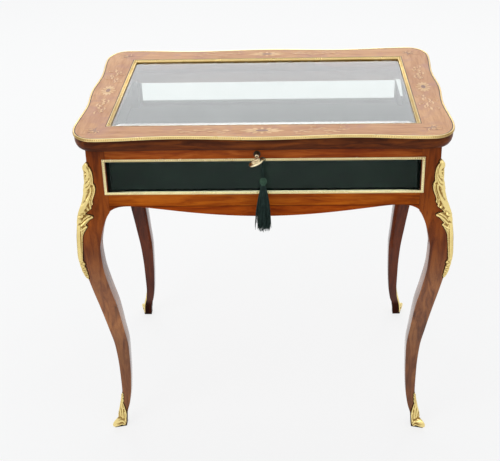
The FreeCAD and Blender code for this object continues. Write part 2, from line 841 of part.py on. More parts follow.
def build_lid_glass():
    """Plate glass with a wide ground bevel on its upper side."""
    body = new_body("lid_glass")
    base = new_sketch(body, "XY_Plane", "glass_low")
    edge_x, edge_y = "sight_x - 0.4", "sight_y - 0.4"
    add_rectangle(base, f"-({edge_x})", edge_x, f"-({edge_y})", edge_y)
    pad(body, base, "glass_thick - bevel_deep")
    low = new_sketch(body, "XY_Plane", "glass_low + glass_thick - bevel_deep")
    add_rectangle(low, f"-({edge_x})", edge_x, f"-({edge_y})", edge_y)
    high = new_sketch(body, "XY_Plane", "glass_low + glass_thick")
    flat_x, flat_y = f"{edge_x} - bevel_wide", f"{edge_y} - bevel_wide"
    add_rectangle(high, f"-({flat_x})", flat_x, f"-({flat_y})", flat_y)
    doc.recompute()
    loft(body, "PartDesign::AdditiveLoft", [low, high], True)
    keep(body, "lid_glass")


# ---------------------------------------------------------------------------------------------
# Hinges, lock, key
# ---------------------------------------------------------------------------------------------


def countersunk_screw(x, y, level, downwards):
    """Small countersunk wood screw with its head flush at a level."""
    head, shank, long = 2.6, 1.2, 11
    points = [(0, 0), (head, 0), (shank, 1.5), (shank, long - 2), (0, long)]
    sign = -1 if downwards else 1
    profile = [FreeCAD.Vector(r, 0, sign * depth) for r, depth in points]
    face = Part.Face(Part.makePolygon(profile + [profile[0]]))
    screw = face.revolve(FreeCAD.Vector(0, 0, 0), FreeCAD.Vector(0, 0, 1), 360)
    screw.translate(FreeCAD.Vector(x, y, level))
    return screw


def build_hinge_screws():
    """Screws of the case leaves and of the lid leaves, as two groups."""
    row_y = size("case_y") - 0.6 * size("leaf_deep")
    groups = []
    for name, level, downwards in (
        ("hinge_screws_case", size("case_top"), True),
        ("hinge_screws_lid", size("lid_under"), False),
    ):
        screws = []
        for side in (-1, 1):
            for step in (-1, 0, 1):
                place = side * size("hinge_x") + step * size("hinge_long") * 0.36
                screws.append(countersunk_screw(place, row_y, level, downwards))
        groups.append(keep(shaped(name, Part.makeCompound(screws)), name))
    return groups


def hinge_leaf(side, knuckles, low):
    """One leaf with its knuckles: a plate let into the wood, joined to the barrel."""
    axis_y = size("case_y") + size("hinge_off")
    axis_z = size("case_top") + size("hinge_rise")
    middle = side * size("hinge_x")
    long, deep, thick = size("hinge_long"), size("leaf_deep"), size("leaf_thick")
    plate = Part.makeBox(long, deep - 0.2, thick)
    plate.translate(FreeCAD.Vector(middle - long / 2, size("case_y") - deep, low))
    for start, finish in knuckles:
        reach = Part.makeBox(finish - start, size("hinge_off") + 0.4, thick)
        reach.translate(FreeCAD.Vector(middle + start, size("case_y") - 0.4, low))
        barrel = Part.makeCylinder(
            size("knuckle_r"),
            finish - start,
            FreeCAD.Vector(middle + start, axis_y, axis_z),
            FreeCAD.Vector(1, 0, 0),
        )
        plate = plate.fuse(reach).fuse(barrel)
    return plate


def build_hinges(screws_case, screws_lid):
    axis_y = size("case_y") + size("hinge_off")
    axis_z = size("case_top") + size("hinge_rise")
    half = size("hinge_long") / 2
    inner, gap = 10, 0.2
    outer_knuckles = [(-half, -inner - gap), (inner + gap, half)]
    inner_knuckle = [(-inner, inner)]
    case_low = size("case_top") - size("leaf_thick")
    bore_case = size("pin_r")
    bore_lid = size("pin_r") + 0.05
    pins, leaves = [], {"case": [], "lid": []}
    for side in (-1, 1):
        start = FreeCAD.Vector(side * size("hinge_x") - half, axis_y, axis_z)
        along = FreeCAD.Vector(1, 0, 0)
        pins.append(Part.makeCylinder(size("pin_r"), 2 * half, start, along))
        case_leaf = hinge_leaf(side, outer_knuckles, case_low)
        lid_leaf = hinge_leaf(side, inner_knuckle, size("lid_under"))
        leaves["case"].append(case_leaf.cut(Part.makeCylinder(bore_case, 2 * half, start, along)))
        leaves["lid"].append(lid_leaf.cut(Part.makeCylinder(bore_lid, 2 * half, start, along)))
    for name, screws in (("case", screws_case), ("lid", screws_lid)):
        blank = shaped(f"hinge_leaves_{name}_blank", Part.makeCompound(leaves[name]))
        keep(cut(f"hinge_leaves_{name}", blank, screws), f"hinge_leaves_{name}")
    keep(shaped("hinge_pins", Part.makeCompound(pins)), "hinge_pins")


def keyhole(body, offset, length, radius):
    """Round hole for the shank with a slot below it for the bit."""
    hole = new_sketch(body, "XZ_Plane", offset)
    add_circle(hole, "key_x", "key_z", radius)
    pocket(body, hole, length)
    slot = new_sketch(body, "XZ_Plane", offset)
    add_rectangle(slot, "key_x - 1.4", "key_x + 1.4", "key_z - bit_reach - 0.6", "key_z")
    pocket(body, slot, length)


def build_lock(lock_screws):
    back = "case_y - rail_thick"
    case = new_body("lock_case_blank")
    outer = new_sketch(case, "XZ_Plane", f"{back} + lock_wall")
    top = "case_top - selvedge_thick"
    add_rectangle(outer, "key_x - lock_half", "key_x + lock_half", "lock_low", top)
    pad(case, outer, "lock_deep - lock_wall")
    selvedge = new_sketch(case, "XY_Plane", top)
    seat_y = f"-({back})"
    add_rectangle(
        selvedge, "key_x - selvedge_half", "key_x + selvedge_half", f"{seat_y} - lock_deep", seat_y
    )
    pad(case, selvedge, "selvedge_thick")
    room = new_sketch(case, "XZ_Plane", f"{back} + lock_wall")
    add_rectangle(
        room,
        "key_x - lock_half + lock_wall",
        "key_x + lock_half - lock_wall",
        "lock_low + lock_wall",
        top,
    )
    pocket(case, room, "lock_deep - 2 * lock_wall")
    mouth = new_sketch(case, "XY_Plane", "case_top")
    staple_x = "key_x - staple_off"
    add_rectangle(
        mouth,
        f"{staple_x} - staple_thick / 2 - 0.6",
        f"{staple_x} + staple_thick / 2 + 0.6",
        f"{seat_y} - lock_deep + lock_wall",
        f"{seat_y} - lock_wall",
    )
    pocket(case, mouth, "selvedge_thick + 0.1")
    keyhole(case, f"{back} + lock_deep", "lock_wall", "shank_r + 0.08")
    keep(cut("lock_case", case, lock_screws), "lock_case")

    cover = new_body("lock_cover_plate")
    plate = new_sketch(cover, "XZ_Plane", back)
    add_rectangle(plate, "key_x - lock_half", "key_x + lock_half", "lock_low", top)
    pad(cover, plate, "lock_wall")
    post = new_sketch(cover, "XZ_Plane", back)
    add_circle(post, "key_x", "key_z", "post_r")
    pad(cover, post, "lock_wall + 14")
    keep(cover, "lock_cover_plate")


def build_bolt():
    """Sliding bolt: a wide tail in the lock case and a nose that passes through the staple's eye."""
    body = new_body("lock_bolt")
    middle_y = "-(case_y - rail_thick + lock_deep / 2)"
    low, high = "case_top - selvedge_thick - 3.6", "case_top - selvedge_thick - 0.3"
    nose_x = "key_x - staple_off + staple_thick / 2 + 0.8"
    nose = new_sketch(body, "XY_Plane", low)
    add_rectangle(nose, nose_x, "key_x + 8", f"{middle_y} - 1.6", f"{middle_y} + 1.6")
    pad(body, nose, f"({high}) - ({low})")
    tail = new_sketch(body, "XY_Plane", f"{low} - 1.6")
    add_rectangle(tail, "key_x - 6", "key_x + 8", f"{middle_y} - 3.6", f"{middle_y} + 3.6")
    pad(body, tail, f"({high}) - ({low}) + 1.6")
    keep(body, "lock_bolt")


def build_escutcheon():
    body = new_body("escutcheon")
    sketch = new_sketch(body, "XZ_Plane", "case_y")
    add_circle(sketch, "key_x", "key_z", "bit_reach + 2.5")
    pad(body, sketch, "0.9")
    keyhole(body, "case_y + 0.9", "0.9", "shank_r + 0.3")
    keep(body, "escutcheon")


def build_link_plate(link_screws):
    """Plate under the lid with the staple that drops into the lock."""
    body = new_body("link_plate_blank")
    middle_y = "-(case_y - rail_thick + lock_deep / 2)"
    middle_x = "key_x - staple_off"
    plate = new_sketch(body, "XY_Plane", "lid_under")
    add_rectangle(
        plate, f"{middle_x} - link_half", f"{middle_x} + link_half", f"{middle_y} - 7", f"{middle_y} + 7"
    )
    pad(body, plate, "link_thick")
    staple = new_sketch(body, "YZ_Plane", f"{middle_x} - staple_thick / 2")
    add_rectangle(staple, f"{middle_y} - 3.3", f"{middle_y} + 3.3", "staple_low", "lid_under")
    pad(body, staple, "staple_thick")
    eye = new_sketch(body, "YZ_Plane", f"{middle_x} - staple_thick / 2")
    add_rectangle(eye, f"{middle_y} - 2.1", f"{middle_y} + 2.1", "case_top - 6", "case_top - 1")
    pocket(body, eye, "staple_thick")
    keep(cut("link_plate", body, link_screws), "link_plate")


def build_lock_screws():
    lock_y = -size("case_y") + size("rail_thick") - size("lock_deep") / 2
    lock_screws = [
        countersunk_screw(
            size("key_x") + side * (size("lock_half") + 3), lock_y, size("case_top"), True
        )
        for side in (-1, 1)
    ]
    link_x = size("key_x") - size("staple_off")
    link_screws = [
        countersunk_screw(link_x + side * 14, lock_y, size("lid_under"), False)
        for side in (-1, 1)
    ]
    lock_group = shaped("lock_screws", Part.makeCompound(lock_screws))
    link_group = shaped("link_plate_screws", Part.makeCompound(link_screws))
    keep(lock_group, "lock_screws")
    keep(link_group, "link_plate_screws")
    return lock_group, link_group


def key_placement(part):
    """Put a part drawn round the key's axis on that axis, with the bow's tilt."""
    turn = FreeCAD.Rotation(FreeCAD.Vector(0, 1, 0), -size("bow_angle"))
    part.Placement = FreeCAD.Placement(FreeCAD.Vector(0, 0, 0), turn)
    bind(part, "Placement.Base.x", "key_x")
    bind(part, "Placement.Base.y", "mid_y")
    bind(part, "Placement.Base.z", "key_z")


def build_key():
    """Barrel key: turned shank with collars, a bit near its tip and a pierced oval bow."""
    body = new_body("key")
    face = -size("case_y")
    tip = face + size("rail_thick") - 2.2
    shank = size("shank_r")
    bow_inner = face - size("bow_start")
    turned = [
        (0, tip),
        (shank, tip),
        (shank, face - 9),
        (shank + 1.4, face - 10),
        (shank + 1.4, face - 12),
        (shank - 0.4, face - 13),
        (shank - 0.6, face - 20),
        (shank + 0.9, face - 21.5),
        (shank + 0.9, face - 23.5),
        (shank - 0.4, face - 25),
        (shank - 0.4, bow_inner - 3),
        (0, bow_inner - 3),
    ]
    profile = new_sketch(body, "XY_Plane")
    add_polygon(profile, turned)
    turning = body.newObject("PartDesign::Revolution", "key_turning")
    turning.Profile = profile
    turning.ReferenceAxis = (profile, ["V_Axis"])
    turning.Angle = 360
    doc.recompute()
    bow = new_sketch(body, "XY_Plane")
    bow_y = bow_inner - size("bow_long") / 2
    outer = Part.Ellipse(FreeCAD.Vector(0, bow_y, 0), size("bow_half"), size("bow_long") / 2)
    bow.addGeometry(outer, False)
    web = 1.9
    hole_half = (size("bow_half") - size("bow_rim") - web) / 2
    for side in (-1, 1):
        middle = FreeCAD.Vector(side * (web + hole_half), bow_y, 0)
        top = middle + FreeCAD.Vector(0, size("bow_long") / 2 - size("bow_rim") - 1.5, 0)
        aside = middle + FreeCAD.Vector(hole_half, 0, 0)
        bow.addGeometry(Part.Ellipse(top, aside, middle), False)
    pad(body, bow, "bow_thick", True)
    bit = new_sketch(body, "XY_Plane")
    add_rectangle(bit, "0", "bit_reach", f"{tip - 6.5}", f"{tip - 1}")
    pad(body, bit, "2.2", True)
    bore = new_sketch(body, "XZ_Plane", f"{-tip}")
    add_circle(bore, "0", "0", "post_r + 0.08")
    pocket(body, bore, "13.5")
    key_placement(body)
    keep(body, "key")


# ---------------------------------------------------------------------------------------------
# Tassel
# ---------------------------------------------------------------------------------------------


def tassel_pivot():
    """Middle of the bow's rim that the tassel loop goes round, in the case's centred frame."""
    reach = size("bow_half") - size("bow_rim") / 2
    tilt = math.radians(size("bow_angle"))
    x = size("key_x") + reach * math.cos(tilt)
    z = size("key_z") + reach * math.sin(tilt)
    y = -size("case_y") - size("bow_start") - size("bow_long") / 2
    return FreeCAD.Vector(x, y, z)


def cord_wire(points):
    """Straight runs between points, joined by arcs that touch both runs. Prints the arc radii."""
    edges = []
    start = points[0]
    for before, corner, after in zip(points, points[1:], points[2:]):
        to_before = (before - corner).normalize()
        to_after = (after - corner).normalize()
        half_turn = (math.pi - to_before.getAngle(to_after)) / 2
        reach = 0.45 * min((before - corner).Length, (after - corner).Length)
        print(f"cord arc radius {reach / math.tan(half_turn):.1f} mm")
        arc_start = corner + to_before * reach
        arc_end = corner + to_after * reach
        inside = (to_before + to_after).normalize()
        radius = reach / math.tan(half_turn)
        centre = corner + inside * (radius / math.cos(half_turn))
        middle = centre - inside * radius
        edges.append(Part.LineSegment(start, arc_start).toShape())
        edges.append(Part.Arc(arc_start, middle, arc_end).toShape())
        start = arc_end
    edges.append(Part.LineSegment(start, points[-1]).toShape())
    return Part.Wire(edges)


def build_tassel():
    pivot = tassel_pivot()
    forward = FreeCAD.Vector(0, 1, 0)
    loop = Part.makeTorus(size("loop_r"), size("cord_r"), pivot, forward)
    keep(shaped("tassel_loop", loop), "tassel_loop")

    drop = size("loop_r") + size("cord_r") + 0.05
    head_top = pivot.z - drop - size("cord_long")
    route = [
        FreeCAD.Vector(pivot.x, pivot.y, pivot.z - drop),
        FreeCAD.Vector(pivot.x - 0.6, pivot.y, pivot.z - drop - 11),
        FreeCAD.Vector(pivot.x + 0.5, pivot.y - 0.3, pivot.z - drop - 24),
        FreeCAD.Vector(pivot.x, pivot.y, head_top),
    ]
    wire = cord_wire(route)
    start_dir = route[1] - route[0]
    section = Part.Wire(Part.makeCircle(size("cord_r"), route[0], start_dir))
    tube = wire.makePipeShell([section], True, False)
    expected = math.pi * size("cord_r") ** 2 * wire.Length
    print(f"cord length {wire.Length:.1f} mm, volume {tube.Volume:.1f} of {expected:.1f} mm3")
    keep(shaped("tassel_cord", tube), "tassel_cord")

    head = size("head_r")
    neck = 0.73 * head
    neck_low = head_top - size("head_tall")
    turned_head = [
        (0, head_top),
        (2.2, head_top),
        (3, head_top - 1.5),
        (head * 0.84, head_top - 3.2),
        (head, head_top - 8),
        (head * 0.91, head_top - 12.5),
        (neck, head_top - 15.5),
        (neck, neck_low),
        (0, neck_low),
    ]
    hem = neck_low - size("skirt_tall")
    hem_r = size("skirt_r")
    turned_skirt = [
        (0, neck_low),
        (neck, neck_low),
        (head * 1.05, neck_low - 7),
        (hem_r * 0.65, neck_low - 22),
        (hem_r * 0.78, neck_low - 37),
        (hem_r * 0.88, neck_low - 58),
        (hem_r, hem),
        (0, hem),
    ]
    for name, profile in (("tassel_head", turned_head), ("tassel_skirt", turned_skirt)):
        corners = [FreeCAD.Vector(pivot.x + r, pivot.y, z) for r, z in profile]
        face = Part.Face(Part.makePolygon(corners + [corners[0]]))
        keep(shaped(name, face.revolve(pivot, FreeCAD.Vector(0, 0, 1), 360)), name)


def check_and_export():
    doc.recompute()
    for thing in doc.Objects:
        if "Invalid" in thing.State or "Error" in thing.State:
            raise RuntimeError(f"{thing.Label}: {thing.State}")
    os.makedirs("parts", exist_ok=True)
    for part in parts:
        shape = part.Shape
        if shape.isNull() or not shape.isValid() or not shape.Solids:
            raise RuntimeError(f"{part.Label}: bad shape")
        shape.exportStep(f"parts/{part.Label}.step")
    print(len(parts), "parts")


def main():
    four_corners("leg", build_leg())
    four_corners("knee_mount", build_casting("knee_mount", KNEE_MOUNT_SHAPE))
    four_corners("sabot", build_sabot())
    build_walls()
    lock_screws, link_screws = build_lock_screws()
    screws_case, screws_lid = build_hinge_screws()
    build_top_rails(lock_screws, screws_case)
    build_floor()
    build_lid_frame(screws_lid, link_screws)
    build_gilt_edge()
    build_sight_moulding()
    build_lid_glass()
    build_hinges(screws_case, screws_lid)
    build_lock(lock_screws)
    build_bolt()
    build_escutcheon()
    build_link_plate(link_screws)
    build_key()
    build_tassel()
    check_and_export()


main()
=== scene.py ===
import math
import random

import bpy
import numpy as np
from mathutils import Matrix, Vector


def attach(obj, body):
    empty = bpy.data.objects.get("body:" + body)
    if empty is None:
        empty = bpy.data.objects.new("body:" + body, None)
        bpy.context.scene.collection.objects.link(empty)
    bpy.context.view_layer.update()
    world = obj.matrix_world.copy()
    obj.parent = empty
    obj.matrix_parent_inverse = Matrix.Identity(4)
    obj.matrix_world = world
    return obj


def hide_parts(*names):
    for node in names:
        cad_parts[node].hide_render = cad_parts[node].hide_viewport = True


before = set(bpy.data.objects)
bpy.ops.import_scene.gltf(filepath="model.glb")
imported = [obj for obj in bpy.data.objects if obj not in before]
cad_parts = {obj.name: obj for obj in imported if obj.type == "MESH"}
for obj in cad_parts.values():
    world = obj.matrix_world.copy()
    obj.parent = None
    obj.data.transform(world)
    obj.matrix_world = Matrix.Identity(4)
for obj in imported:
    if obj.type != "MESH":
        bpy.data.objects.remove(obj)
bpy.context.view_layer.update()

# Collectors display table. Shapes are worked out in millimetres in the case's centred frame
# (case in the middle of X and Y, floor at Z = 0, key side towards -Y) and moved into the row
# frame by at(): by MID_Y along Y, and to metres.
MID_Y = 13.0
# Half sizes of the case, and the level of the lid's wooden top.
CASE_X, CASE_Y = 369.0, 268.0
VENEER_LEVEL = 759.2
# Corners of the table, each with the signs that mirror the front left corner onto it.
CORNERS = {
    "front_left": (1, 1),
    "front_right": (-1, 1),
    "back_left": (1, -1),
    "back_right": (-1, -1),
}
WALLS = ("front", "back", "left", "right")
scene = bpy.context.scene
dice = random.Random(11)


def at(points):
    """Centred millimetres to the row frame's metres."""
    return (np.asarray(points, float) + (0, MID_Y, 0)) / 1000


# ---- Camera, floor and light ----

# Strength of the studio's walls: as the camera sees them, as they light the table, and near and
# far as polished surfaces mirror them. Then the share of the floor's own white, and its radius
# in metres.
SEEN_WALL, LIT_WALL = 0.96, 0.78
NEAR_WALL, FAR_WALL = 0.92, 1.75
FLOOR_GLOW = 0.8
FLOOR_R = 9


def add_camera():
    """Camera at the photograph's viewpoint, from its place and its three angles."""
    yaw, pitch, roll = -0.048065, 0.483271, -0.028264
    level = math.cos(pitch)
    forward = Vector((math.sin(yaw) * level, math.cos(yaw) * level, -math.sin(pitch)))
    right = Vector((math.cos(yaw), -math.sin(yaw), 0))
    up = right.cross(forward)
    tilted_right = right * math.cos(roll) + up * math.sin(roll)
    tilted_up = up * math.cos(roll) - right * math.sin(roll)
    camera = bpy.data.objects.new("camera", bpy.data.cameras.new("camera"))
    scene.collection.objects.link(camera)
    rotation = Matrix((tilted_right, tilted_up, -forward)).transposed().to_4x4()
    place = at((63.512, -2209.804, 1554.923))
    camera.matrix_world = Matrix.Translation(Vector(place)) @ rotation
    camera.data.sensor_fit = "HORIZONTAL"
    camera.data.sensor_width = 36
    camera.data.lens = 73.44
    camera.data.clip_end = 50
    scene.camera = camera


def add_area(name, place, target, wide, tall, radiance):
    """Softbox of the given radiance that shines at the target; sizes in metres."""
    lamp = bpy.data.lights.new(name, "AREA")
    lamp.shape = "RECTANGLE"
    lamp.size, lamp.size_y = wide, tall
    lamp.energy = math.pi * wide * tall * radiance
    box = bpy.data.objects.new(name, lamp)
    scene.collection.objects.link(box)
    box.location = place
    box.rotation_euler = (Vector(target) - Vector(place)).to_track_quat("-Z", "Y").to_euler()


def feed(tree, node, **inputs):
    """Set or link inputs by name, with _ for a space, or by index as i0, i1 and so on."""
    for key, value in inputs.items():
        index = int(key[1:]) if key[0] == "i" and key[1:].isdigit() else key.replace("_", " ")
        if isinstance(value, bpy.types.NodeSocket):
            tree.links.new(value, node.inputs[index])
        else:
            node.inputs[index].default_value = value


def add_node(tree, kind, settings=None, **inputs):
    """Add a node with its settings; inputs are values or sockets to link."""
    node = tree.nodes.new(kind)
    for key, value in (settings or {}).items():
        setattr(node, key, value)
    feed(tree, node, **inputs)
    return node


def calculate(tree, operation, *values, clamp=False):
    """Output of a math node."""
    inputs = {f"i{index}": value for index, value in enumerate(values)}
    settings = {"operation": operation, "use_clamp": clamp}
    return add_node(tree, "ShaderNodeMath", settings, **inputs).outputs[0]


def mix_shaders(tree, share, first, second):
    """First shader where the share is 0, second where it is 1."""
    return add_node(tree, "ShaderNodeMixShader", i0=share, i1=first, i2=second).outputs[0]


def stretch(tree, value, low, high, to_low, to_high, kind="LINEAR"):
    """Values from low to high, mapped to the second range and held at its ends."""
    return add_node(
        tree, "ShaderNodeMapRange", {"interpolation_type": kind}, Value=value, From_Min=low,
        From_Max=high, To_Min=to_low, To_Max=to_high,
    ).outputs[0]


def add_world():
    """Pale studio: even light, with a brighter far wall above eye level for what mirrors it."""
    world = bpy.data.worlds.new("studio")
    scene.world = world
    world.use_nodes = True
    tree = world.node_tree
    tree.nodes.clear()
    way = add_node(tree, "ShaderNodeTexCoord").outputs["Generated"]
    parts = add_node(tree, "ShaderNodeSeparateXYZ", Vector=way).outputs
    far = stretch(tree, parts["Y"], 0.45, 0.8, 0, FAR_WALL - NEAR_WALL, "SMOOTHSTEP")
    risen = stretch(tree, parts["Z"], 0.17, 0.28, 0, 1, "SMOOTHSTEP")
    wall = calculate(tree, "MULTIPLY_ADD", far, risen, NEAR_WALL)
    looks = (((0.96, 0.98, 1), LIT_WALL), ((0.97, 0.98, 1), wall), ((1, 1, 1), SEEN_WALL))
    even, mirrored, white = [
        add_node(tree, "ShaderNodeBackground", Color=(*colour, 1), Strength=strength).outputs[0]
        for colour, strength in looks
    ]
    rays = add_node(tree, "ShaderNodeLightPath").outputs
    seen = mix_shaders(tree, rays["Is Glossy Ray"], even, mirrored)
    seen = mix_shaders(tree, rays["Is Camera Ray"], seen, white)
    add_node(tree, "ShaderNodeOutputWorld", Surface=seen)


def add_floor():
    """Pale floor that keeps the shadows and looks near white to the camera, metal and glass."""
    material = bpy.data.materials.new("studio_floor")
    material.use_nodes = True
    tree = material.node_tree
    tree.nodes.clear()
    matt = add_node(tree, "ShaderNodeBsdfDiffuse", Color=(0.9, 0.9, 0.9, 1)).outputs[0]
    glow = add_node(tree, "ShaderNodeEmission", Color=(0.953, 0.955, 0.957, 1), Strength=1)
    rays = add_node(tree, "ShaderNodeLightPath").outputs
    seen = rays["Is Camera Ray"]
    for other in ("Is Glossy Ray", "Is Transmission Ray"):
        seen = calculate(tree, "MAXIMUM", seen, rays[other])
    share = calculate(tree, "MULTIPLY", seen, FLOOR_GLOW)
    both = mix_shaders(tree, share, matt, glow.outputs[0])
    add_node(tree, "ShaderNodeOutputMaterial", Surface=both)
    mesh = bpy.data.meshes.new("floor")
    turns = np.linspace(0, math.tau, 64, False)
    rim = [(FLOOR_R * math.cos(turn), FLOOR_R * math.sin(turn), 0) for turn in turns]
    mesh.from_pydata(rim, [], [list(range(len(rim)))])
    mesh.materials.append(material)
    floor = bpy.data.objects.new("floor", mesh)
    scene.collection.objects.link(floor)


add_camera()
add_world()
add_floor()
add_area("softbox_behind", (0, 3.1, 3.1), (0, 0.2, 0.7), 4.4, 1.2, 3.1)
add_area("softbox_front", (-2.6, -2.9, 3.1), (0, 0, 0.4), 2.6, 1.8, 2.4)
scene.view_settings.view_transform = "Standard"


# ---- Materials ----


def new_material(name):
    """Material with a Principled shader; returns it, its tree and the shader."""
    material = bpy.data.materials.new(name)
    material.use_nodes = True
    tree = material.node_tree
    return material, tree, tree.nodes["Principled BSDF"]


def object_point(tree, scale=(1, 1, 1), turn=(0, 0, 0)):
    """Object coordinates, turned and stretched."""
    coordinates = add_node(tree, "ShaderNodeTexCoord").outputs["Object"]
    return add_node(
        tree, "ShaderNodeMapping", Vector=coordinates, Scale=scale, Rotation=turn
    ).outputs[0]


def object_axis(tree, axis):
    """One of the object coordinates."""
    where = add_node(tree, "ShaderNodeTexCoord").outputs["Object"]
    return add_node(tree, "ShaderNodeSeparateXYZ", Vector=where).outputs[axis]


def noise(tree, point, scale, detail=4, rough=0.55, warp=0.0):
    """Cloudy value from 0 to 1."""
    return add_node(
        tree, "ShaderNodeTexNoise", Vector=point, Scale=scale, Detail=detail, Roughness=rough,
        Distortion=warp,
    ).outputs[0]


def ramp(tree, value, stops):
    """Colour ramp through (place, colour) stops."""
    node = add_node(tree, "ShaderNodeValToRGB", Fac=value)
    band = node.color_ramp
    while len(band.elements) < len(stops):
        band.elements.new(0.5)
    for element, (place, colour) in zip(band.elements, stops):
        element.position = place
        element.color = (*colour, 1)
    return node.outputs[0]


def by_height(tree, stops):
    """Colour ramp over the height, through (height in metres, colour) stops."""
    low, high = stops[0][0], stops[-1][0]
    place = stretch(tree, object_axis(tree, "Z"), low, high, 0.0, 1.0)
    return ramp(tree, place, [((height - low) / (high - low), colour) for height, colour in stops])


def blend(tree, share, first, second, kind="MIX"):
    """Mix two colours, each a socket or three numbers."""
    first, second = [
        colour if isinstance(colour, bpy.types.NodeSocket) else (*colour, 1)
        for colour in (first, second)
    ]
    settings = {"data_type": "RGBA", "blend_type": kind}
    return add_node(tree, "ShaderNodeMix", settings, i0=share, i6=first, i7=second).outputs[2]


def bump(tree, shader, height, strength, distance):
    """Fine relief on top of the mesh's own shape."""
    node = add_node(tree, "ShaderNodeBump", Height=height, Strength=strength, Distance=distance)
    feed(tree, shader, Normal=node.outputs[0])


def wood(name, colours, grain, coat=0.0, gloss=0.05, figure=9, turn=(0, 0, 0), patches=None,
         zones=None, polish=None, ends=None):
    """Veneer: long streaks along one axis, fine pores and slow changes of tone.

    colours are dark, middle and light; grain is the axis the streaks run along. patches is the
    colour of cloudy areas. zones are heights in metres, each with the colour that the wood is
    multiplied by there. polish are heights with the share of the coat that is left there. ends
    is how far from the middle, in metres, a rail begins and finishes to darken.
    """
    material, tree, shader = new_material(name)
    along_grain = [axis == grain for axis in "XYZ"]
    streak_scale = [1.0 if along else 9.0 for along in along_grain]
    pore_scale = [6.0 if along else 170.0 for along in along_grain]
    streaks = noise(tree, object_point(tree, streak_scale, turn), figure, 6, 0.62, 0.9)
    slow = noise(tree, object_point(tree, turn=turn), 7.0, 2, 0.5, 0.4)
    pores = noise(tree, object_point(tree, pore_scale, turn), 6.0, 3, 0.6)
    dark, middle, light = colours
    colour = ramp(tree, streaks, [(0.3, dark), (0.47, middle), (0.62, light), (0.78, middle)])
    colour = blend(tree, stretch(tree, slow, 0.35, 0.7, 0.0, 0.5), colour, dark)
    colour = blend(tree, stretch(tree, slow, 0.3, 0.6, 0.3, 0.0), colour, light)
    colour = blend(tree, stretch(tree, pores, 0.56, 0.72, 0.0, 0.45), colour, dark)
    if patches:
        cloud = noise(tree, object_point(tree), 16.0, 3, 0.6, 0.7)
        colour = blend(tree, stretch(tree, cloud, 0.48, 0.7, 0.0, 0.8), colour, patches)
    if zones:
        colour = blend(tree, 1.0, colour, by_height(tree, zones), "MULTIPLY")
    if ends:
        centre = MID_Y / 1000 if grain == "Y" else 0.0
        off = calculate(tree, "SUBTRACT", object_axis(tree, grain), centre)
        share = stretch(tree, calculate(tree, "ABSOLUTE", off), *ends, 0.0, 1.0)
        colour = blend(tree, share, colour, blend(tree, 1.0, colour, END_SHADE, "MULTIPLY"))
    if polish:
        coat = by_height(tree, [(height, (coat * left,) * 3) for height, left in polish])
    feed(
        tree, shader, Base_Color=colour, Roughness=stretch(tree, streaks, 0.3, 0.7, 0.42, 0.3),
        Specular_IOR_Level=gloss, Coat_Weight=coat, Coat_Roughness=0.09, Coat_IOR=1.36,
    )
    bump(tree, shader, pores, 0.06, 0.0004)
    return material


def metal(name, bright, dull, roughness=0.26, worn=34.0):
    """Cast and polished metal, dull where painted shade lies, mostly in recesses, and with faint
    tool marks.
    """
    material, tree, shader = new_material(name)
    painted_shade = add_node(tree, "ShaderNodeAttribute", {"attribute_name": "painted_shade"}).outputs["Fac"]
    cloud = noise(tree, object_point(tree), worn, 5, 0.6)
    fine = noise(tree, object_point(tree), 900.0, 2, 0.5)
    smudges = stretch(tree, cloud, 0.42, 0.75, 0.0, 0.16)
    # Painted shade from the mesh, with random smudges, takes the bright colour towards the dull
    # one.
    shade_and_smudges = calculate(tree, "MULTIPLY_ADD", painted_shade, 0.85, smudges, clamp=True)
    feed(
        tree, shader, Base_Color=blend(tree, shade_and_smudges, bright, dull), Metallic=1,
        Roughness=stretch(tree, cloud, 0.3, 0.7, roughness - 0.06, roughness + 0.1),
    )
    bump(tree, shader, fine, 0.12, 0.0003)
    return material


def glass(name, index, thin, thick):
    """Plate glass, tinted between two colours, that lets the lamps through to what it covers."""
    material, tree, shader = new_material(name)
    haze = noise(tree, object_point(tree), 14.0, 3, 0.5)
    colour = ramp(tree, haze, [(0.3, thick), (0.7, thin)])
    feed(tree, shader, Base_Color=colour, Roughness=0.0, IOR=index, Transmission_Weight=1)
    clear = add_node(tree, "ShaderNodeBsdfTransparent", Color=(0.93, 0.95, 0.94, 1)).outputs[0]
    shadow = add_node(tree, "ShaderNodeLightPath").outputs["Is Shadow Ray"]
    mixed = mix_shaders(tree, shadow, shader.outputs[0], clear)
    feed(tree, tree.nodes["Material Output"], Surface=mixed)
    return material


def cloth(name, dark, light, grain, sheen=0.5):
    """Pile or silk with fine thread and slow changes of shade."""
    material, tree, shader = new_material(name)
    thread = noise(tree, object_point(tree, grain), 60.0, 3, 0.6)
    slow = noise(tree, object_point(tree), 9.0, 3, 0.5, 0.5)
    colour = ramp(tree, thread, [(0.35, dark), (0.68, light)])
    colour = blend(tree, stretch(tree, slow, 0.35, 0.65, 0.0, 0.45), colour, dark)
    feed(
        tree, shader, Base_Color=colour, Roughness=0.85, Specular_IOR_Level=0.1,
        Sheen_Weight=sheen, Sheen_Roughness=0.4, Sheen_Tint=(0.2, 0.35, 0.3, 1),
    )
    bump(tree, shader, thread, 0.3, 0.0006)
    return material


# What the ends of a rail are multiplied by, and the colour of cloudy areas of the lid's ground.
END_SHADE = (0.78, 0.76, 0.7)
TOP_PATCH = (0.44, 0.2, 0.13)
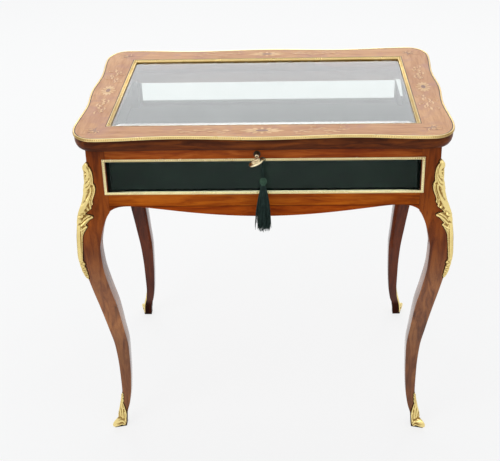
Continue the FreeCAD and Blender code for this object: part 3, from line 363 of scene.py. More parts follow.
# Colours of each wood: dark, middle and light.
RAIL_TONES = ((0.13, 0.018, 0.002), (0.33, 0.06, 0.002), (0.5, 0.12, 0.006))
LEG_TONES = ((0.075, 0.015, 0.004), (0.29, 0.072, 0.016), (0.46, 0.135, 0.03))
LID_SIDE_TONES = ((0.03, 0.008, 0.005), (0.11, 0.028, 0.01), (0.23, 0.058, 0.012))
TOP_TONES = ((0.42, 0.175, 0.068), (0.56, 0.27, 0.11), (0.65, 0.345, 0.15))
PALE_TONES = ((0.58, 0.34, 0.15), (0.74, 0.47, 0.23), (0.82, 0.55, 0.3))
MID_TONES = ((0.36, 0.15, 0.075), (0.45, 0.2, 0.1), (0.54, 0.26, 0.14))
EYE_TONES = ((0.2, 0.1, 0.065), (0.31, 0.165, 0.115), (0.38, 0.21, 0.15))
# Dark stringing, which is also painted shadow beside the gilt.
STRINGING_AND_SHADOW_TONES = ((0.025, 0.012, 0.004), (0.07, 0.034, 0.01), (0.12, 0.06, 0.02))
# Painted shadow laid on the legs round the castings.
PAINTED_SHADOW_TONES = ((0.012, 0.005, 0.002), (0.035, 0.015, 0.005), (0.07, 0.03, 0.01))
FACING_TONES = ((0.2, 0.12, 0.09), (0.29, 0.18, 0.14), (0.36, 0.24, 0.19))
CARCASS_TONES = ((0.14, 0.075, 0.035), (0.3, 0.18, 0.09), (0.42, 0.27, 0.15))
# The apron's lower band is a separate, darker and redder strip with a fine joint above it.
APRON_BAND = [
    (0.565, (0.8, 0.62, 0.6)), (0.5925, (0.84, 0.66, 0.6)), (0.5935, (0.36, 0.28, 0.3)),
    (0.5945, (0.36, 0.28, 0.3)), (0.5958, (1, 1, 1)), (0.7, (1.05, 1.12, 3.2)),
    (0.727, (0.98, 1.05, 4.4)),
]
# Legs carry painted shade at the floor, and are greyer in the shanks than beside the case's
# polished posts.
LEG_SHADE = [
    (0.0, (0.25, 0.3, 0.3)), (0.034, (0.27, 0.33, 0.3)), (0.052, (0.66, 0.82, 1.1)),
    (0.12, (0.76, 0.98, 1.3)), (0.25, (0.88, 1.16, 1.5)), (0.42, (0.86, 1.05, 1.3)),
    (0.5, (0.76, 0.68, 0.45)), (0.56, (0.74, 0.6, 0.32)), (0.61, (0.66, 0.5, 0.2)),
    (0.725, (0.67, 0.48, 0.18)),
]
# The back legs carry painted shade of the case: the legs' own wood, made darker and redder.
BACK_LEG_SHADE = [(height, (0.4 * r, 0.2 * g, 0.12 * b)) for height, (r, g, b) in LEG_SHADE]
# Share of the polish that is left by height: none at the feet, nor in front beside the case.
LEG_POLISH = [
    (0.0, 0.0), (0.036, 0.0), (0.06, 1.0), (0.4, 1.0), (0.52, 0.3), (0.58, 0.0), (0.725, 0.0),
]
BACK_LEG_POLISH = [(0.0, 0.0), (0.036, 0.0), (0.06, 1.0), (0.725, 1.0)]
# The lid's moulding carries painted shade under the gilt and again at its lower edge.
LID_SHADE = [
    (0.727, (0.55, 0.45, 0.6)), (0.733, (0.8, 0.72, 0.7)), (0.739, (1.1, 1.1, 1)),
    (0.748, (0.85, 0.85, 0.8)), (0.7535, (0.6, 0.62, 0.45)), (0.756, (0.45, 0.45, 0.3)),
]

rail_x = wood("veneer_rail_x", RAIL_TONES, "X", zones=APRON_BAND, ends=(0.25, 0.325))
rail_y = wood("veneer_rail_y", RAIL_TONES, "Y", zones=APRON_BAND, ends=(0.15, 0.225))
leg_wood = wood(
    "veneer_leg", LEG_TONES, "Z", 1.0, 0.1, 8, (0.06, 0.16, 0), zones=LEG_SHADE,
    polish=LEG_POLISH,
)
# Darker copy of the legs' veneer for the back legs: painted shade.
shaded_back_leg_wood = wood(
    "veneer_back_leg_painted_shade", LEG_TONES, "Z", 0.85, 0.05, 8, (0.06, 0.16, 0), zones=BACK_LEG_SHADE,
    polish=BACK_LEG_POLISH,
)
facing_wood = wood("facing_wood", FACING_TONES, "X")
lid_side_x = wood("veneer_lid_side_x", LID_SIDE_TONES, "X", zones=LID_SHADE)
lid_side_y = wood("veneer_lid_side_y", LID_SIDE_TONES, "Y", zones=LID_SHADE)
carcass = wood("carcass_wood", CARCASS_TONES, "X")
ground_x = wood("marquetry_ground_x", TOP_TONES, "X", 0.12, 0.1, 14, patches=TOP_PATCH)
ground_y = wood("marquetry_ground_y", TOP_TONES, "Y", 0.12, 0.1, 14, patches=TOP_PATCH)
inlay_pale = wood("marquetry_inlay_pale", PALE_TONES, "X", 0.12, 0.1, 30)
inlay_mid = wood("marquetry_inlay_mid", MID_TONES, "X", 0.12, 0.1, 30)
inlay_dark = wood("marquetry_inlay_dark", EYE_TONES, "X", 0.12, 0.1, 30)
# Dark sheet on the legs round the castings: painted shadow.
painted_shadow_wood = wood("painted_shadow_wood", PAINTED_SHADOW_TONES, "Z", 0.0, 0.05, 30)
# Dark stringing, also painted shadow beside the gilt.
stringing_and_shadow = wood("dark_stringing_and_shadow", STRINGING_AND_SHADOW_TONES, "X", 0.12, 0.1, 30)
gilt = metal("gilt_bronze", (1, 0.81, 0.4), (0.34, 0.2, 0.05), 0.3)
# Castings' gilt: a darker copy of the gilt as painted shade, with deeper painted shade in its
# hollows.
ormolu = metal("ormolu_castings", (0.94, 0.75, 0.31), (0.22, 0.1, 0.015), 0.26)
# Paler, brighter copy of the gilt for the window frames: painted light.
frame_gilt_painted_light = metal("frame_gilt_painted_light", (1, 0.93, 0.6), (0.5, 0.34, 0.12), 0.22)
key_gilt = metal("key_gilt", (1, 0.86, 0.56), (0.32, 0.17, 0.06), 0.2)
brass = metal("fitting_brass", (0.72, 0.55, 0.27), (0.4, 0.28, 0.12), 0.34)
steel = metal("filed_steel", (0.55, 0.54, 0.52), (0.3, 0.28, 0.26), 0.38)
# Dark bronze: the escutcheon's own colour, and painted shade on the plates under the feet.
dark_bronze_and_shade = metal("dark_bronze_and_shade", (0.05, 0.036, 0.026), (0.02, 0.014, 0.01), 0.33)
pane_glass = glass("window_glass", 1.15, (0.66, 0.7, 0.68), (0.6, 0.65, 0.63))
lid_plate = glass("lid_plate_glass", 1.5, (0.95, 0.97, 0.96), (0.91, 0.94, 0.93))
velvet = cloth("green_velvet", (0.008, 0.018, 0.014), (0.024, 0.048, 0.034), (1, 1, 1), 0.06)
silk = cloth("green_silk", (0.007, 0.014, 0.012), (0.034, 0.06, 0.052), (12, 12, 1), 0.3)
# Lighter copy of the silk for the tassel's head: painted light.
wound_silk = cloth(
    "wound_green_silk", (0.022, 0.05, 0.032), (0.07, 0.135, 0.09), (12, 12, 4), 0.4
)


# ---- Mesh tools ----

AXES = np.eye(3)


def unit(ways):
    """A direction, or each row of them, at length 1."""
    return ways / np.linalg.norm(ways, axis=-1, keepdims=True)


def circle(count):
    """Points of a level circle of radius 1."""
    turn = np.linspace(0, math.tau, count, False)
    return np.stack((np.cos(turn), np.sin(turn), 0 * turn), 1)


def at_level(plan, level):
    """Plan points with a height added."""
    plan = np.asarray(plan, float)
    return np.column_stack((plan, np.full(len(plan), level)))


def rectangle(half_x, half_y, level):
    """Level rectangle about the middle of the case."""
    corners = ((-half_x, -half_y), (half_x, -half_y), (half_x, half_y), (-half_x, half_y))
    return at_level(corners, level)


def smooth_line(points, count, rounds):
    """Evenly spaced points along a line through the given ones, with its bends rounded off."""
    points = np.asarray(points, float)
    place, steps = np.linspace(0, 1, len(points)), np.linspace(0, 1, count)
    line = np.stack([np.interp(steps, place, points[:, k]) for k in (0, 1)], 1)
    for _ in range(rounds):
        line[1:-1] = (line[:-2] + 2 * line[1:-1] + line[2:]) / 4
    return line


class Shape:
    """Growing set of points and faces, with a painted shade value at each point."""

    def __init__(self):
        self.points, self.faces, self.painted_shade = [], [], []
        self.count = 0

    def add(self, points, faces, painted_shade=0.0):
        """Add a part; its faces count its own points from 0."""
        points = np.asarray(points, float).reshape(-1, 3)
        self.points.append(points)
        self.faces += [[i + self.count for i in face] for face in faces]
        self.painted_shade.append(np.broadcast_to(painted_shade, len(points)).astype(float))
        self.count += len(points)

    def rings(self, rings, painted_shade=0.0, closed=False):
        """Skin over rings of equal length; closed joins the last ring to the first, and
        otherwise a cap closes each end."""
        rings = np.asarray(rings, float)
        count, size = rings.shape[:2]
        faces = []
        for i in range(count if closed else count - 1):
            one, two = i * size, (i + 1) % count * size
            for j in range(size):
                k = (j + 1) % size
                faces.append([one + j, one + k, two + k, two + j])
        if not closed:
            faces.append(list(range(size))[::-1])
            faces.append([(count - 1) * size + j for j in range(size)])
        values = np.repeat(painted_shade, size) if np.ndim(painted_shade) else painted_shade
        self.add(rings.reshape(-1, 3), faces, values)

    def slab(self, outline, low, high):
        """Upright body over a plan outline that goes anticlockwise."""
        self.rings([at_level(outline, level) for level in (low, high)])

    def tube(self, path, radii, sides=8, closed=False, squash=1.0, up=(0, 0, 1)):
        """Round bar along a path; squash flattens it along up."""
        path = np.asarray(path, float)
        radii = np.broadcast_to(radii, len(path)).astype(float)
        if closed:
            along = unit(np.roll(path, -1, 0) - np.roll(path, 1, 0))
        else:
            along = unit(np.gradient(path, axis=0))
        side = np.cross(along, up)
        side /= np.maximum(np.linalg.norm(side, axis=1), 1e-9)[:, None]
        over = np.cross(side, along)
        turn = np.linspace(0, math.tau, sides, False)
        ring = (
            np.cos(turn)[None, :, None] * side[:, None] * radii[:, None, None]
            + np.sin(turn)[None, :, None] * over[:, None] * radii[:, None, None] * squash
        )
        self.rings(path[:, None] + ring, closed=closed)

    def beads(self, centres, along, across, out, radii, painted_shade=0.0):
        """One small ellipsoid at each centre, with its three half axes."""
        centres = np.asarray(centres, float).reshape(-1, 3)
        frames = [
            np.broadcast_to(np.asarray(way, float), centres.shape) for way in (along, across, out)
        ]
        sides, levels = 8, np.radians((-55, -15, 20, 52))
        turns = np.linspace(0, math.tau, sides, False)
        local = [(0, 0, -1)]
        for level in levels:
            height, wide = math.sin(level), math.cos(level)
            local += [(wide * math.cos(turn), wide * math.sin(turn), height) for turn in turns]
        local = np.array(local + [(0, 0, 1)]) * radii
        top = len(local) - 1
        last = top - sides
        faces = [[0, 1 + (j + 1) % sides, 1 + j] for j in range(sides)]
        for low in range(1, last, sides):
            high = low + sides
            for j in range(sides):
                k = (j + 1) % sides
                faces.append([low + j, low + k, high + k, high + j])
        faces += [[last + j, last + (j + 1) % sides, top] for j in range(sides)]
        # Painted shade on the lower part of each bead, towards what it sits on, on top of the
        # painted shade given.
        shades = np.clip((0.35 - local[:, 2] / radii[2]) * 0.8, 0, 1) + painted_shade
        for centre, one, two, three in zip(centres, *frames):
            place = local[:, :1] * one + local[:, 1:2] * two + local[:, 2:] * three
            self.add(centre + place, faces, shades)

    def lathe(self, centre, profile, axis="Z", sides=32, ribs=0, rib_depth=0.0):
        """Turned body about Z or Y from (radius, distance along the axis) pairs."""
        turn = np.linspace(0, math.tau, sides, False)
        swell = 1 + rib_depth * np.cos(turn * ribs) if ribs else np.ones(sides)
        rings = []
        for radius, place in profile:
            one, two = radius * swell * np.cos(turn), radius * swell * np.sin(turn)
            level = np.full(sides, place)
            rings.append(np.stack((one, two, level) if axis == "Z" else (two, level, one), 1))
        self.rings(np.array(rings) + np.asarray(centre, float))

    def paint_light_and_shade(self, amount):
        """Add to the painted shade values an amount worked out from the points; a negative amount
        is painted light.
        """
        pairs = zip(self.points, self.painted_shade)
        self.painted_shade = [np.clip(values + amount(points), 0, 1) for points, values in pairs]

    def mirrored(self, across_x, across_y):
        """Copy with its X and Y multiplied by 1 or -1."""
        copy = Shape()
        factors = (across_x, across_y, 1)
        copy.points = [points * factors for points in self.points]
        flip = across_x * across_y < 0
        copy.faces = [face[::-1] if flip else face for face in self.faces]
        copy.painted_shade, copy.count = list(self.painted_shade), self.count
        return copy


def finish_mesh(mesh, angle):
    """Smooth shading, with edges sharper than the angle kept crisp."""
    mesh.validate()
    mesh.update()
    mesh.shade_smooth()
    mesh.set_sharp_from_angle(angle=math.radians(angle))


def make_piece(name, shape, material, body, replaced=(), angle=38):
    """Blender object from a Shape, riding on a body."""
    mesh = bpy.data.meshes.new(name)
    mesh.from_pydata(at(np.concatenate(shape.points)).tolist(), [], shape.faces)
    # The painted shade values go on the mesh for the metal shaders to read.
    layer = mesh.attributes.new("painted_shade", "FLOAT", "POINT")
    layer.data.foreach_set("value", np.concatenate(shape.painted_shade).astype(np.float32))
    finish_mesh(mesh, angle)
    mesh.materials.append(material)
    piece = bpy.data.objects.new(name, mesh)
    scene.collection.objects.link(piece)
    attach(piece, body)
    if replaced:
        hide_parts(*replaced)
    return piece


def make_corners(*pieces):
    """Pieces of the table at all four corners, mirrored from those at the front left one.

    Each is a stem for the name, a Shape, its material, its slot, which is not used, the stem of
    the CAD nodes that it replaces or None, and the angle from which its edges are crisp.
    """
    for corner, signs in CORNERS.items():
        for stem, shape, material, slot, replaced, angle in pieces:
            nodes = [f"{replaced}_{corner}"] if replaced else ()
            copy = shape.mirrored(*signs)
            make_piece(f"{stem}_{corner}", copy, material, "table", nodes, angle)


def dress(node, material):
    """Give a CAD node its material."""
    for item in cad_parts[node].material_slots:
        item.material = material


# ---- Tassel and its cord ----

# The key's axis; the tilt, sizes and start of its bow, and how deep the key goes into the case;
# the sizes of the cord, loop and tassel.
KEY_X, KEY_Z = -11.0, 713.5
BOW_TILT = math.radians(24)
BOW_HALF, BOW_LONG, BOW_RIM, BOW_START = 16.5, 31.0, 4.3, 27.0
KEY_DEEP = 19.8
CORD_R, LOOP_R, CORD_LONG = 1.3, 4.7, 35.0
HEAD_R, HEAD_TALL, SKIRT_TALL, SKIRT_R = 7.9, 22.0, 99.0, 16.5
BOW_REACH = BOW_HALF - BOW_RIM / 2
# Where the loop hangs in the bow.
PIVOT = np.array((KEY_X, -CASE_Y - BOW_START - BOW_LONG / 2, KEY_Z))
PIVOT += BOW_REACH * np.array((math.cos(BOW_TILT), 0, math.sin(BOW_TILT)))
CORD_DROP = LOOP_R + CORD_R + 0.05
HEAD_TOP = PIVOT[2] - CORD_DROP - CORD_LONG
NECK_LOW = HEAD_TOP - HEAD_TALL


def add_tassel_cord():
    """Cord from the loop in the key's bow to the tassel's head."""
    route = [
        PIVOT - (0, 0, CORD_DROP),
        PIVOT - (0.6, 0, CORD_DROP + 11),
        PIVOT + (0.5, -0.3, -CORD_DROP - 24),
        (PIVOT[0], PIVOT[1], HEAD_TOP),
    ]
    curve = bpy.data.curves.new("tassel_cord_line", "CURVE")
    curve.dimensions = "3D"
    spline = curve.splines.new("NURBS")
    spline.points.add(len(route) - 1)
    for point, place in zip(spline.points, at(route)):
        point.co = (*place, 1)
    spline.order_u = 3
    spline.use_endpoint_u = True
    spline.resolution_u = 12
    curve.bevel_depth = CORD_R / 1000
    curve.bevel_resolution = 3
    curve.use_fill_caps = True
    curve.materials.append(silk)
    cord = bpy.data.objects.new("tassel_cord_line", curve)
    scene.collection.objects.link(cord)
    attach(cord, "tassel")
    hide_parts("tassel_cord")


def add_tassel():
    """Twisted loop, ribbed head, wound neck and fringe of single threads."""
    loop = Shape()
    twists, strand_off, strand_r = 14, 0.55, 0.72
    for phase in (0, math.pi):
        turns = np.linspace(0, math.tau, 96, False)
        twist = twists * turns + phase
        reach = LOOP_R + strand_off * np.cos(twist)
        ring = (reach * np.cos(turns), strand_off * np.sin(twist), reach * np.sin(turns))
        loop.tube(PIVOT + np.stack(ring, 1), strand_r, 8, closed=True, up=(0, 1, 0))
    make_piece("tassel_cord_loop", loop, silk, "tassel_hanger", ["tassel_loop"])

    head = Shape()
    profile = [
        (0.4, 0), (2.6, 0.4), (5.2, 2.1), (7.0, 4.9), (7.7, 8.1), (7.2, 11), (5.9, 13.3),
        (4.3, 15), (4.0, 16.4),
    ]
    ball = [(reach, HEAD_TOP - below) for reach, below in profile]
    head.lathe((PIVOT[0], PIVOT[1], 0), ball[::-1], sides=72, ribs=24, rib_depth=0.03)
    head_piece = make_piece(
        "tassel_turned_head", head, wound_silk, "tassel", ["tassel_head"]
    )

    skirt = Shape()
    windings = ((5.2, 4.0), (4.3, 4.0), (3.4, 4.2), (2.5, 4.8), (1.6, 5.4), (0.7, 5.7))
    for level, reach in windings:
        ring = circle(32) * reach + (PIVOT[0], PIVOT[1], NECK_LOW + level)
        skirt.tube(ring, 0.6, 6, closed=True)
    core = [(0.4, -1), (5.0, -0.8), (4.6, 1.4), (3.8, 3.6), (3.8, 6.2), (0.4, 6.4)]
    core = [(reach, NECK_LOW + level) for reach, level in core]
    skirt.lathe((PIVOT[0], PIVOT[1], 0), core, sides=24)
    drop = [0, 7, 22, 37, 58, SKIRT_TALL]
    spread = [5.7, HEAD_R * 1.02, SKIRT_R * 0.64, SKIRT_R * 0.76, SKIRT_R * 0.87, SKIRT_R * 0.94]
    threads = 300
    loose = 6
    golden_turn = 2.399963
    for index in range(threads):
        turn = index * golden_turn
        share = math.sqrt((index + 0.5) / threads)
        stray = index >= threads - loose
        if stray:
            turn = math.pi + dice.uniform(-0.2, 0.2)
        length = SKIRT_TALL - 19 * dice.random() ** 1.2
        widen = dice.uniform(1.14, 1.36) if stray else dice.uniform(0.88, 1.05)
        drift = dice.uniform(-0.25, 0.25)
        wave, sway = dice.uniform(0, math.tau), dice.uniform(0.2, 1.1)
        path = []
        for step in np.linspace(0, 1, 11):
            reach = (np.interp(length * step, drop, spread) - 0.7) * share
            reach *= 1 + (widen - 1) * step
            reach += sway * math.sin(wave + step * 8) * step * 0.7
            angle = turn + drift * step
            x, y = PIVOT[0] + reach * math.cos(angle), PIVOT[1] + reach * math.sin(angle)
            path.append((x, y, NECK_LOW + 0.6 - length * step * 0.99))
        skirt.tube(path, np.linspace(0.6, 0.4, 11), 5)
    make_piece("tassel_fringe", skirt, silk, "tassel", ["tassel_skirt"], 80)
    add_tassel_cord()


add_tassel()


# ---- Legs ----

# Height, how far the outer corner stands out from the case corner, the inner edge of the front
# face from the middle of the case, and how far that edge stands forward of the case's face.
LEG_SHAPE = [
    (725, 0, 329, 0), (660, 0.3, 329, 0), (640, 2, 329, 0), (615, 7.5, 329, 0),
    (600, 13, 329, 0), (583, 20.5, 329, 0), (572, 23.8, 335.5, 3), (552, 27.2, 344, 9),
    (528, 29, 350, 15.5), (500, 28.8, 353.8, 22), (460, 24.3, 352, 22),
    (400, 14.3, 343.2, 14.3), (340, 2.6, 332.4, 2.6), (280, -8.3, 325.8, -8.3),
    (220, -17.8, 320.4, -17.8), (160, -21.3, 321.4, -21.3), (100, -22, 324.8, -22),
    (60, -18.5, 330.6, -18.5), (30, -11.5, 339, -11.5), (3, -9, 341, -9),
]
LEG_FOOT, LEG_TOP = 3.0, 725.0
# Level under which the post widens into the leg's ears, and the width of the land along them.
POST_FOOT, LAND_WIDE = 583.0, 9.0


def shape_at(rows, height):
    """Row of a shape table at any height, on a smooth curve without overshoot."""
    rows = np.asarray(rows, float)
    spans = np.diff(rows[:, 0])
    steps = np.diff(rows[:, 1:], axis=0) / spans[:, None]
    before, after = steps[:-1], steps[1:]
    product = before * after
    total = np.where(product > 0, before + after, 1)
    middle = np.where(product > 0, 2 * product / total, 0)
    slopes = np.vstack((steps[:1], middle, steps[-1:]))
    index = 0
    while index < len(rows) - 2 and height < rows[index + 1, 0]:
        index += 1
    share = (height - rows[index, 0]) / spans[index]
    bend = share * share * (3 - 2 * share)
    leave = share * (1 - share) ** 2 * spans[index] * slopes[index]
    arrive = share * share * (1 - share) * spans[index] * slopes[index + 1]
    return rows[index, 1:] + bend * (rows[index + 1, 1:] - rows[index, 1:]) + leave - arrive


def leg_plan(height):
    """Plan of the front left leg: outer corner, then round over the front face."""
    outer, inner, forward = shape_at(LEG_SHAPE, height)
    inner_y = inner - (CASE_X - CASE_Y)
    fade = min(1, max(0, (POST_FOOT - height) / 40))
    rise = forward + fade * (outer - forward) * LAND_WIDE / (CASE_X + outer - inner)
    front = [(-inner - LAND_WIDE, -CASE_Y - rise), (-inner, -CASE_Y - forward)]
    side = [(-CASE_X - forward, -inner_y), (-CASE_X - rise, -inner_y - LAND_WIDE)]
    return np.array([(-CASE_X - outer, -CASE_Y - outer), *front, (-inner, -inner_y), *side])


def rounded(plan, radii):
    """Plan with each corner cut by a short arc."""
    points = []
    count = len(plan)
    for i, radius in enumerate(radii):
        corner = plan[i]
        back = plan[i - 1] - corner
        ahead = plan[(i + 1) % count] - corner
        back_long, ahead_long = np.linalg.norm(back), np.linalg.norm(ahead)
        reach = min(radius, 0.4 * back_long, 0.4 * ahead_long)
        start, finish = corner + back / back_long * reach, corner + ahead / ahead_long * reach
        for share in (0, 0.25, 0.5, 0.75, 1):
            rest = 1 - share
            points.append(rest**2 * start + 2 * share * rest * corner + share**2 * finish)
    return np.array(points)


def add_legs():
    """Four legs, each in one piece with its corner post."""
    leg = Shape()
    radii = (2.4, 6, 1.2, 1.6, 1.2, 6)
    heights = np.linspace(LEG_FOOT, LEG_TOP, 150)
    leg.rings([at_level(rounded(leg_plan(height), radii), height) for height in heights])
    for corner, (across_x, across_y) in CORNERS.items():
        make_piece(
            f"cabriole_leg_{corner}", leg.mirrored(across_x, across_y),
            leg_wood if across_y > 0 else shaded_back_leg_wood, "table",
            [f"leg_{corner}"], 50,
        )


add_legs()


# ---- Knee mounts and sabots ----

# Height and how far the casting stands out at the leg's outer corner.
KNEE_STAND = [
    (699, 1.5), (695, 5.6), (691, 7.4), (686, 7.6), (679, 6.8), (668, 7.4), (660, 7), (649, 8.4),
    (637, 9.2), (629, 8.9), (612, 9.6), (603, 11), (597, 11.6), (590, 11.4), (582, 9.6),
    (573, 7.4), (562, 4.9), (545, 4), (520, 4.4), (497, 5), (472, 5.8), (455, 5.4), (441, 4.4),
    (432, 2.6), (427, 1),
]
# Height and reach of the casting along each face of the leg: its leafy outline.
KNEE_OUTLINE = [
    (699, 1), (696.5, 3.2), (693, 4.4), (690.5, 4), (688, 5.8), (685, 7.5), (677.5, 10),
    (669, 11.1), (662, 11.5), (655, 11.4), (650.5, 11.3), (648.5, 12.4), (646.5, 14),
    (643, 15.6), (637.5, 16.8), (631.5, 17.2), (625, 16.5), (618, 15.5), (612.5, 14.9),
    (609.5, 15.2), (607, 17.5), (604.5, 18.4), (602, 17.7), (600, 16.4), (598, 17.8),
    (596, 18.8), (593.8, 18.3), (591.5, 14.8), (589, 11.8), (586.4, 9.4), (584.6, 10.6),
    (583.2, 14), (581.8, 20.5), (580.6, 23.6), (579.4, 25.4), (578.4, 28), (576.8, 30.2),
    (575, 30.4), (573.4, 28), (571, 23.8), (567.5, 20.3), (564, 17.2), (561.3, 15),
    (559.8, 16.8), (558.2, 19.8), (555.6, 20.2), (552.5, 18), (546, 13.6), (540, 11.3),
    (530.5, 10), (519, 8.8), (508, 7.7), (496, 6.5), (484, 4.6), (476, 3), (473.6, 4.8),
    (471, 6.2), (467.5, 6), (464, 3.4), (461, 2.6), (459, 4.4), (456, 5), (452, 3.8),
    (449.6, 3.4), (447.5, 4.8), (444, 4.6), (440.5, 3.4), (437, 4.2), (433, 4), (429.5, 2.6),
    (427, 0.8),
]
# Raised lines of the relief: points as (distance from the corner, height), then the line's
# radius at its start and end.
KNEE_LINES = [
    ([(2.6, 695), (5.4, 688), (8, 679), (9.4, 668), (9.6, 656), (9, 648)], 1.2, 1.9),
    ([(0.6, 694), (1.2, 686), (3.4, 677), (3.2, 667), (1.2, 659)], 1.5, 2.0),
    ([(5.6, 682), (6.4, 672), (5.6, 661), (2.6, 651)], 1.0, 1.5),
    ([(7, 664), (6.8, 654), (3.6, 643), (0.6, 637)], 1.0, 1.7),
    ([(9.6, 650), (12.6, 644), (14.4, 636), (14.2, 627), (12.8, 617)], 1.7, 2.2),
    ([(10.8, 642), (11.4, 633), (9.8, 620), (7, 608), (4, 597)], 1.0, 1.7),
    ([(6.2, 641), (7.2, 633), (5.8, 621), (3.4, 609), (1.4, 598)], 2.0, 3.3),
    ([(1.4, 631), (0.6, 618), (0, 604)], 1.1, 1.7),
    ([(12.6, 620), (13.2, 611), (16.2, 605)], 1.6, 1.4),
    ([(8.8, 612), (11.4, 604), (16.6, 596)], 1.2, 1.9),
    ([(5.4, 603), (8.8, 596), (13.4, 593)], 1.2, 1.5),
    ([(4.4, 592), (7.6, 589), (9.4, 588)], 1.6, 1.0),
    ([(5, 570), (10, 575.5), (16, 579), (22.4, 581)], 2.2, 1.9),
    ([(7, 562), (13, 568.5), (20, 573.6), (27.6, 576)], 2.6, 2.6),
    ([(3, 552), (8.4, 552), (13.6, 554.4), (18, 557)], 2.2, 2.3),
    ([(9, 546), (11.8, 549.4), (14.4, 551.4)], 1.4, 1.0),
    ([(2.2, 562), (2.6, 546), (2.8, 530), (2.2, 505), (0.8, 480)], 2.6, 2.0),
    ([(6.4, 556), (8.2, 543), (8.4, 530), (6.6, 510), (4.8, 494), (2.8, 480)], 1.7, 1.1),
]
# Round bosses: distance from the corner, height, radius.
KNEE_BOSSES = [
    (3.4, 693.2, 1.9), (2.8, 673.5, 2.5), (0, 662, 2.0), (1.4, 648.5, 2.5), (0, 639, 2.0),
    (16.6, 604.4, 1.6), (16.8, 596, 1.9), (0.8, 594.4, 4.2), (3.6, 582.6, 3.4), (1.2, 573, 4.4),
    (8, 586, 1.6), (28, 576.2, 2.5), (18.2, 557.2, 2.1), (4, 470.4, 2.4), (0.8, 466, 2.2),
    (3.2, 456.4, 2.0), (0.6, 451, 2.0), (3, 445.6, 1.8), (2.4, 435.6, 2.0), (0.2, 432, 1.6),
]
SABOT_STAND = [
    (88, 0.6), (82, 1.6), (75, 2), (67, 2.6), (59.5, 3.2), (51.5, 3.3), (43, 2.5), (34, 2.1),
    (27.5, 2.2), (23.5, 3), (20.8, 8), (17.5, 11.4), (13, 13), (8, 12.8), (4, 10.6), (1.5, 7.6),
    (0, 5),
]
SABOT_OUTLINE = [
    (88, 0.7), (86, 2.4), (83, 3.5), (80.4, 2.6), (78, 3.9), (74.5, 4.4), (72, 3.2), (68, 4.6),
    (63.5, 4.4), (60.5, 3.7), (57.5, 5.2), (53.6, 7.4), (49.6, 9.5), (45, 11.8), (41, 14),
    (36, 16.4), (31, 18), (24, 18), (17, 17.8), (11, 17.4), (6, 16.8), (2, 16.2), (0, 15.6),
]
SABOT_LINES = [
    (
        [
            (1.4, 83), (2.4, 72), (2.8, 61), (6.6, 51.5), (11.8, 42), (15.4, 33), (16, 22),
            (14.6, 14),
        ],
        1.1, 1.7,
    ),
    ([(0.4, 80), (0.4, 64), (2.4, 52), (6, 42), (8.6, 32), (9.2, 23)], 1.3, 2.3),
    ([(0, 58), (0.4, 46), (3.6, 36), (5.4, 26)], 1.2, 1.8),
    ([(11.8, 37), (12.6, 29), (12.4, 22)], 1.3, 1.1),
    ([(0, 15), (6, 15.6), (11.4, 12), (14.4, 7)], 3.2, 1.8),
    ([(4, 6), (9, 5), (13.4, 2.6)], 1.8, 1.3),
]
SABOT_BOSSES = [(2.4, 82.4, 1.3), (2.8, 76, 1.5), (6.6, 47, 1.5), (12.8, 36, 1.6)]
# Thickness of a casting between its lines and at its edge, and the lowest limit to its height.
SKIN, RIM, LOW_LIMIT = 1.3, 0.25, 4.2
# How far from the leg's corner a casting is thicker and the offsets of both faces mix, and how
# wide its rounded edge is.
THICK_REACH, MIX_REACH, ROUND_WIDE = 9.0, 7.0, 1.2
# How far the painted shadow film goes past a casting, and the tops of film and casting seat on the
# leg.
PAINTED_SHADOW_WIDE = 1.5
FILM_TOP, FILM_SEAT, CASTING_SEAT = 0.16, 0.02, 0.06


def relief_height(along, level, lines, bosses):
    """Height of the raised lines and bosses over the casting's skin, on a grid."""
    balls = [(*boss, 0.9) for boss in bosses]
    for points, first, last in lines:
        spots = smooth_line(points, 36, 3)
        radii = np.linspace(first, last, len(spots))
        balls += [(*spot, radius, 1.0) for spot, radius in zip(spots, radii)]
    height = np.zeros_like(along)
    for near, tall, radius, share in balls:
        gap = (along - near) ** 2 + (level - tall) ** 2
        height = np.maximum(height, share * np.sqrt(np.maximum(radius**2 - gap, 0)))
    return height


def casting_point(plan, side, along, out):
    """Point on the front (-1) or side (1) face of the leg, moved outwards; at the corner both
    faces' offsets add up."""
    corner = plan[0]
    near, far = [unit(plan[end] - corner) for end in ((1, 5) if side < 0 else (5, 1))]
    out_near, out_far = side * np.array((-near[1], near[0])), side * np.array((far[1], -far[0]))
    share = max(0.0, 1 - along / MIX_REACH) ** 2
    return corner + near * along + out_near * out + out_far * out * share


def relief_ring(tall, places, tops, sides, seat):
    """Ring of a relief at one height: along its face, then back along its seat on the leg."""
    plan = leg_plan(max(tall, LEG_FOOT))
    face = [casting_point(plan, *spot) for spot in zip(sides, places, tops)]
    back = [casting_point(plan, side, place, seat) for side, place in zip(sides, places)]
    return at_level(back + face[::-1], tall)


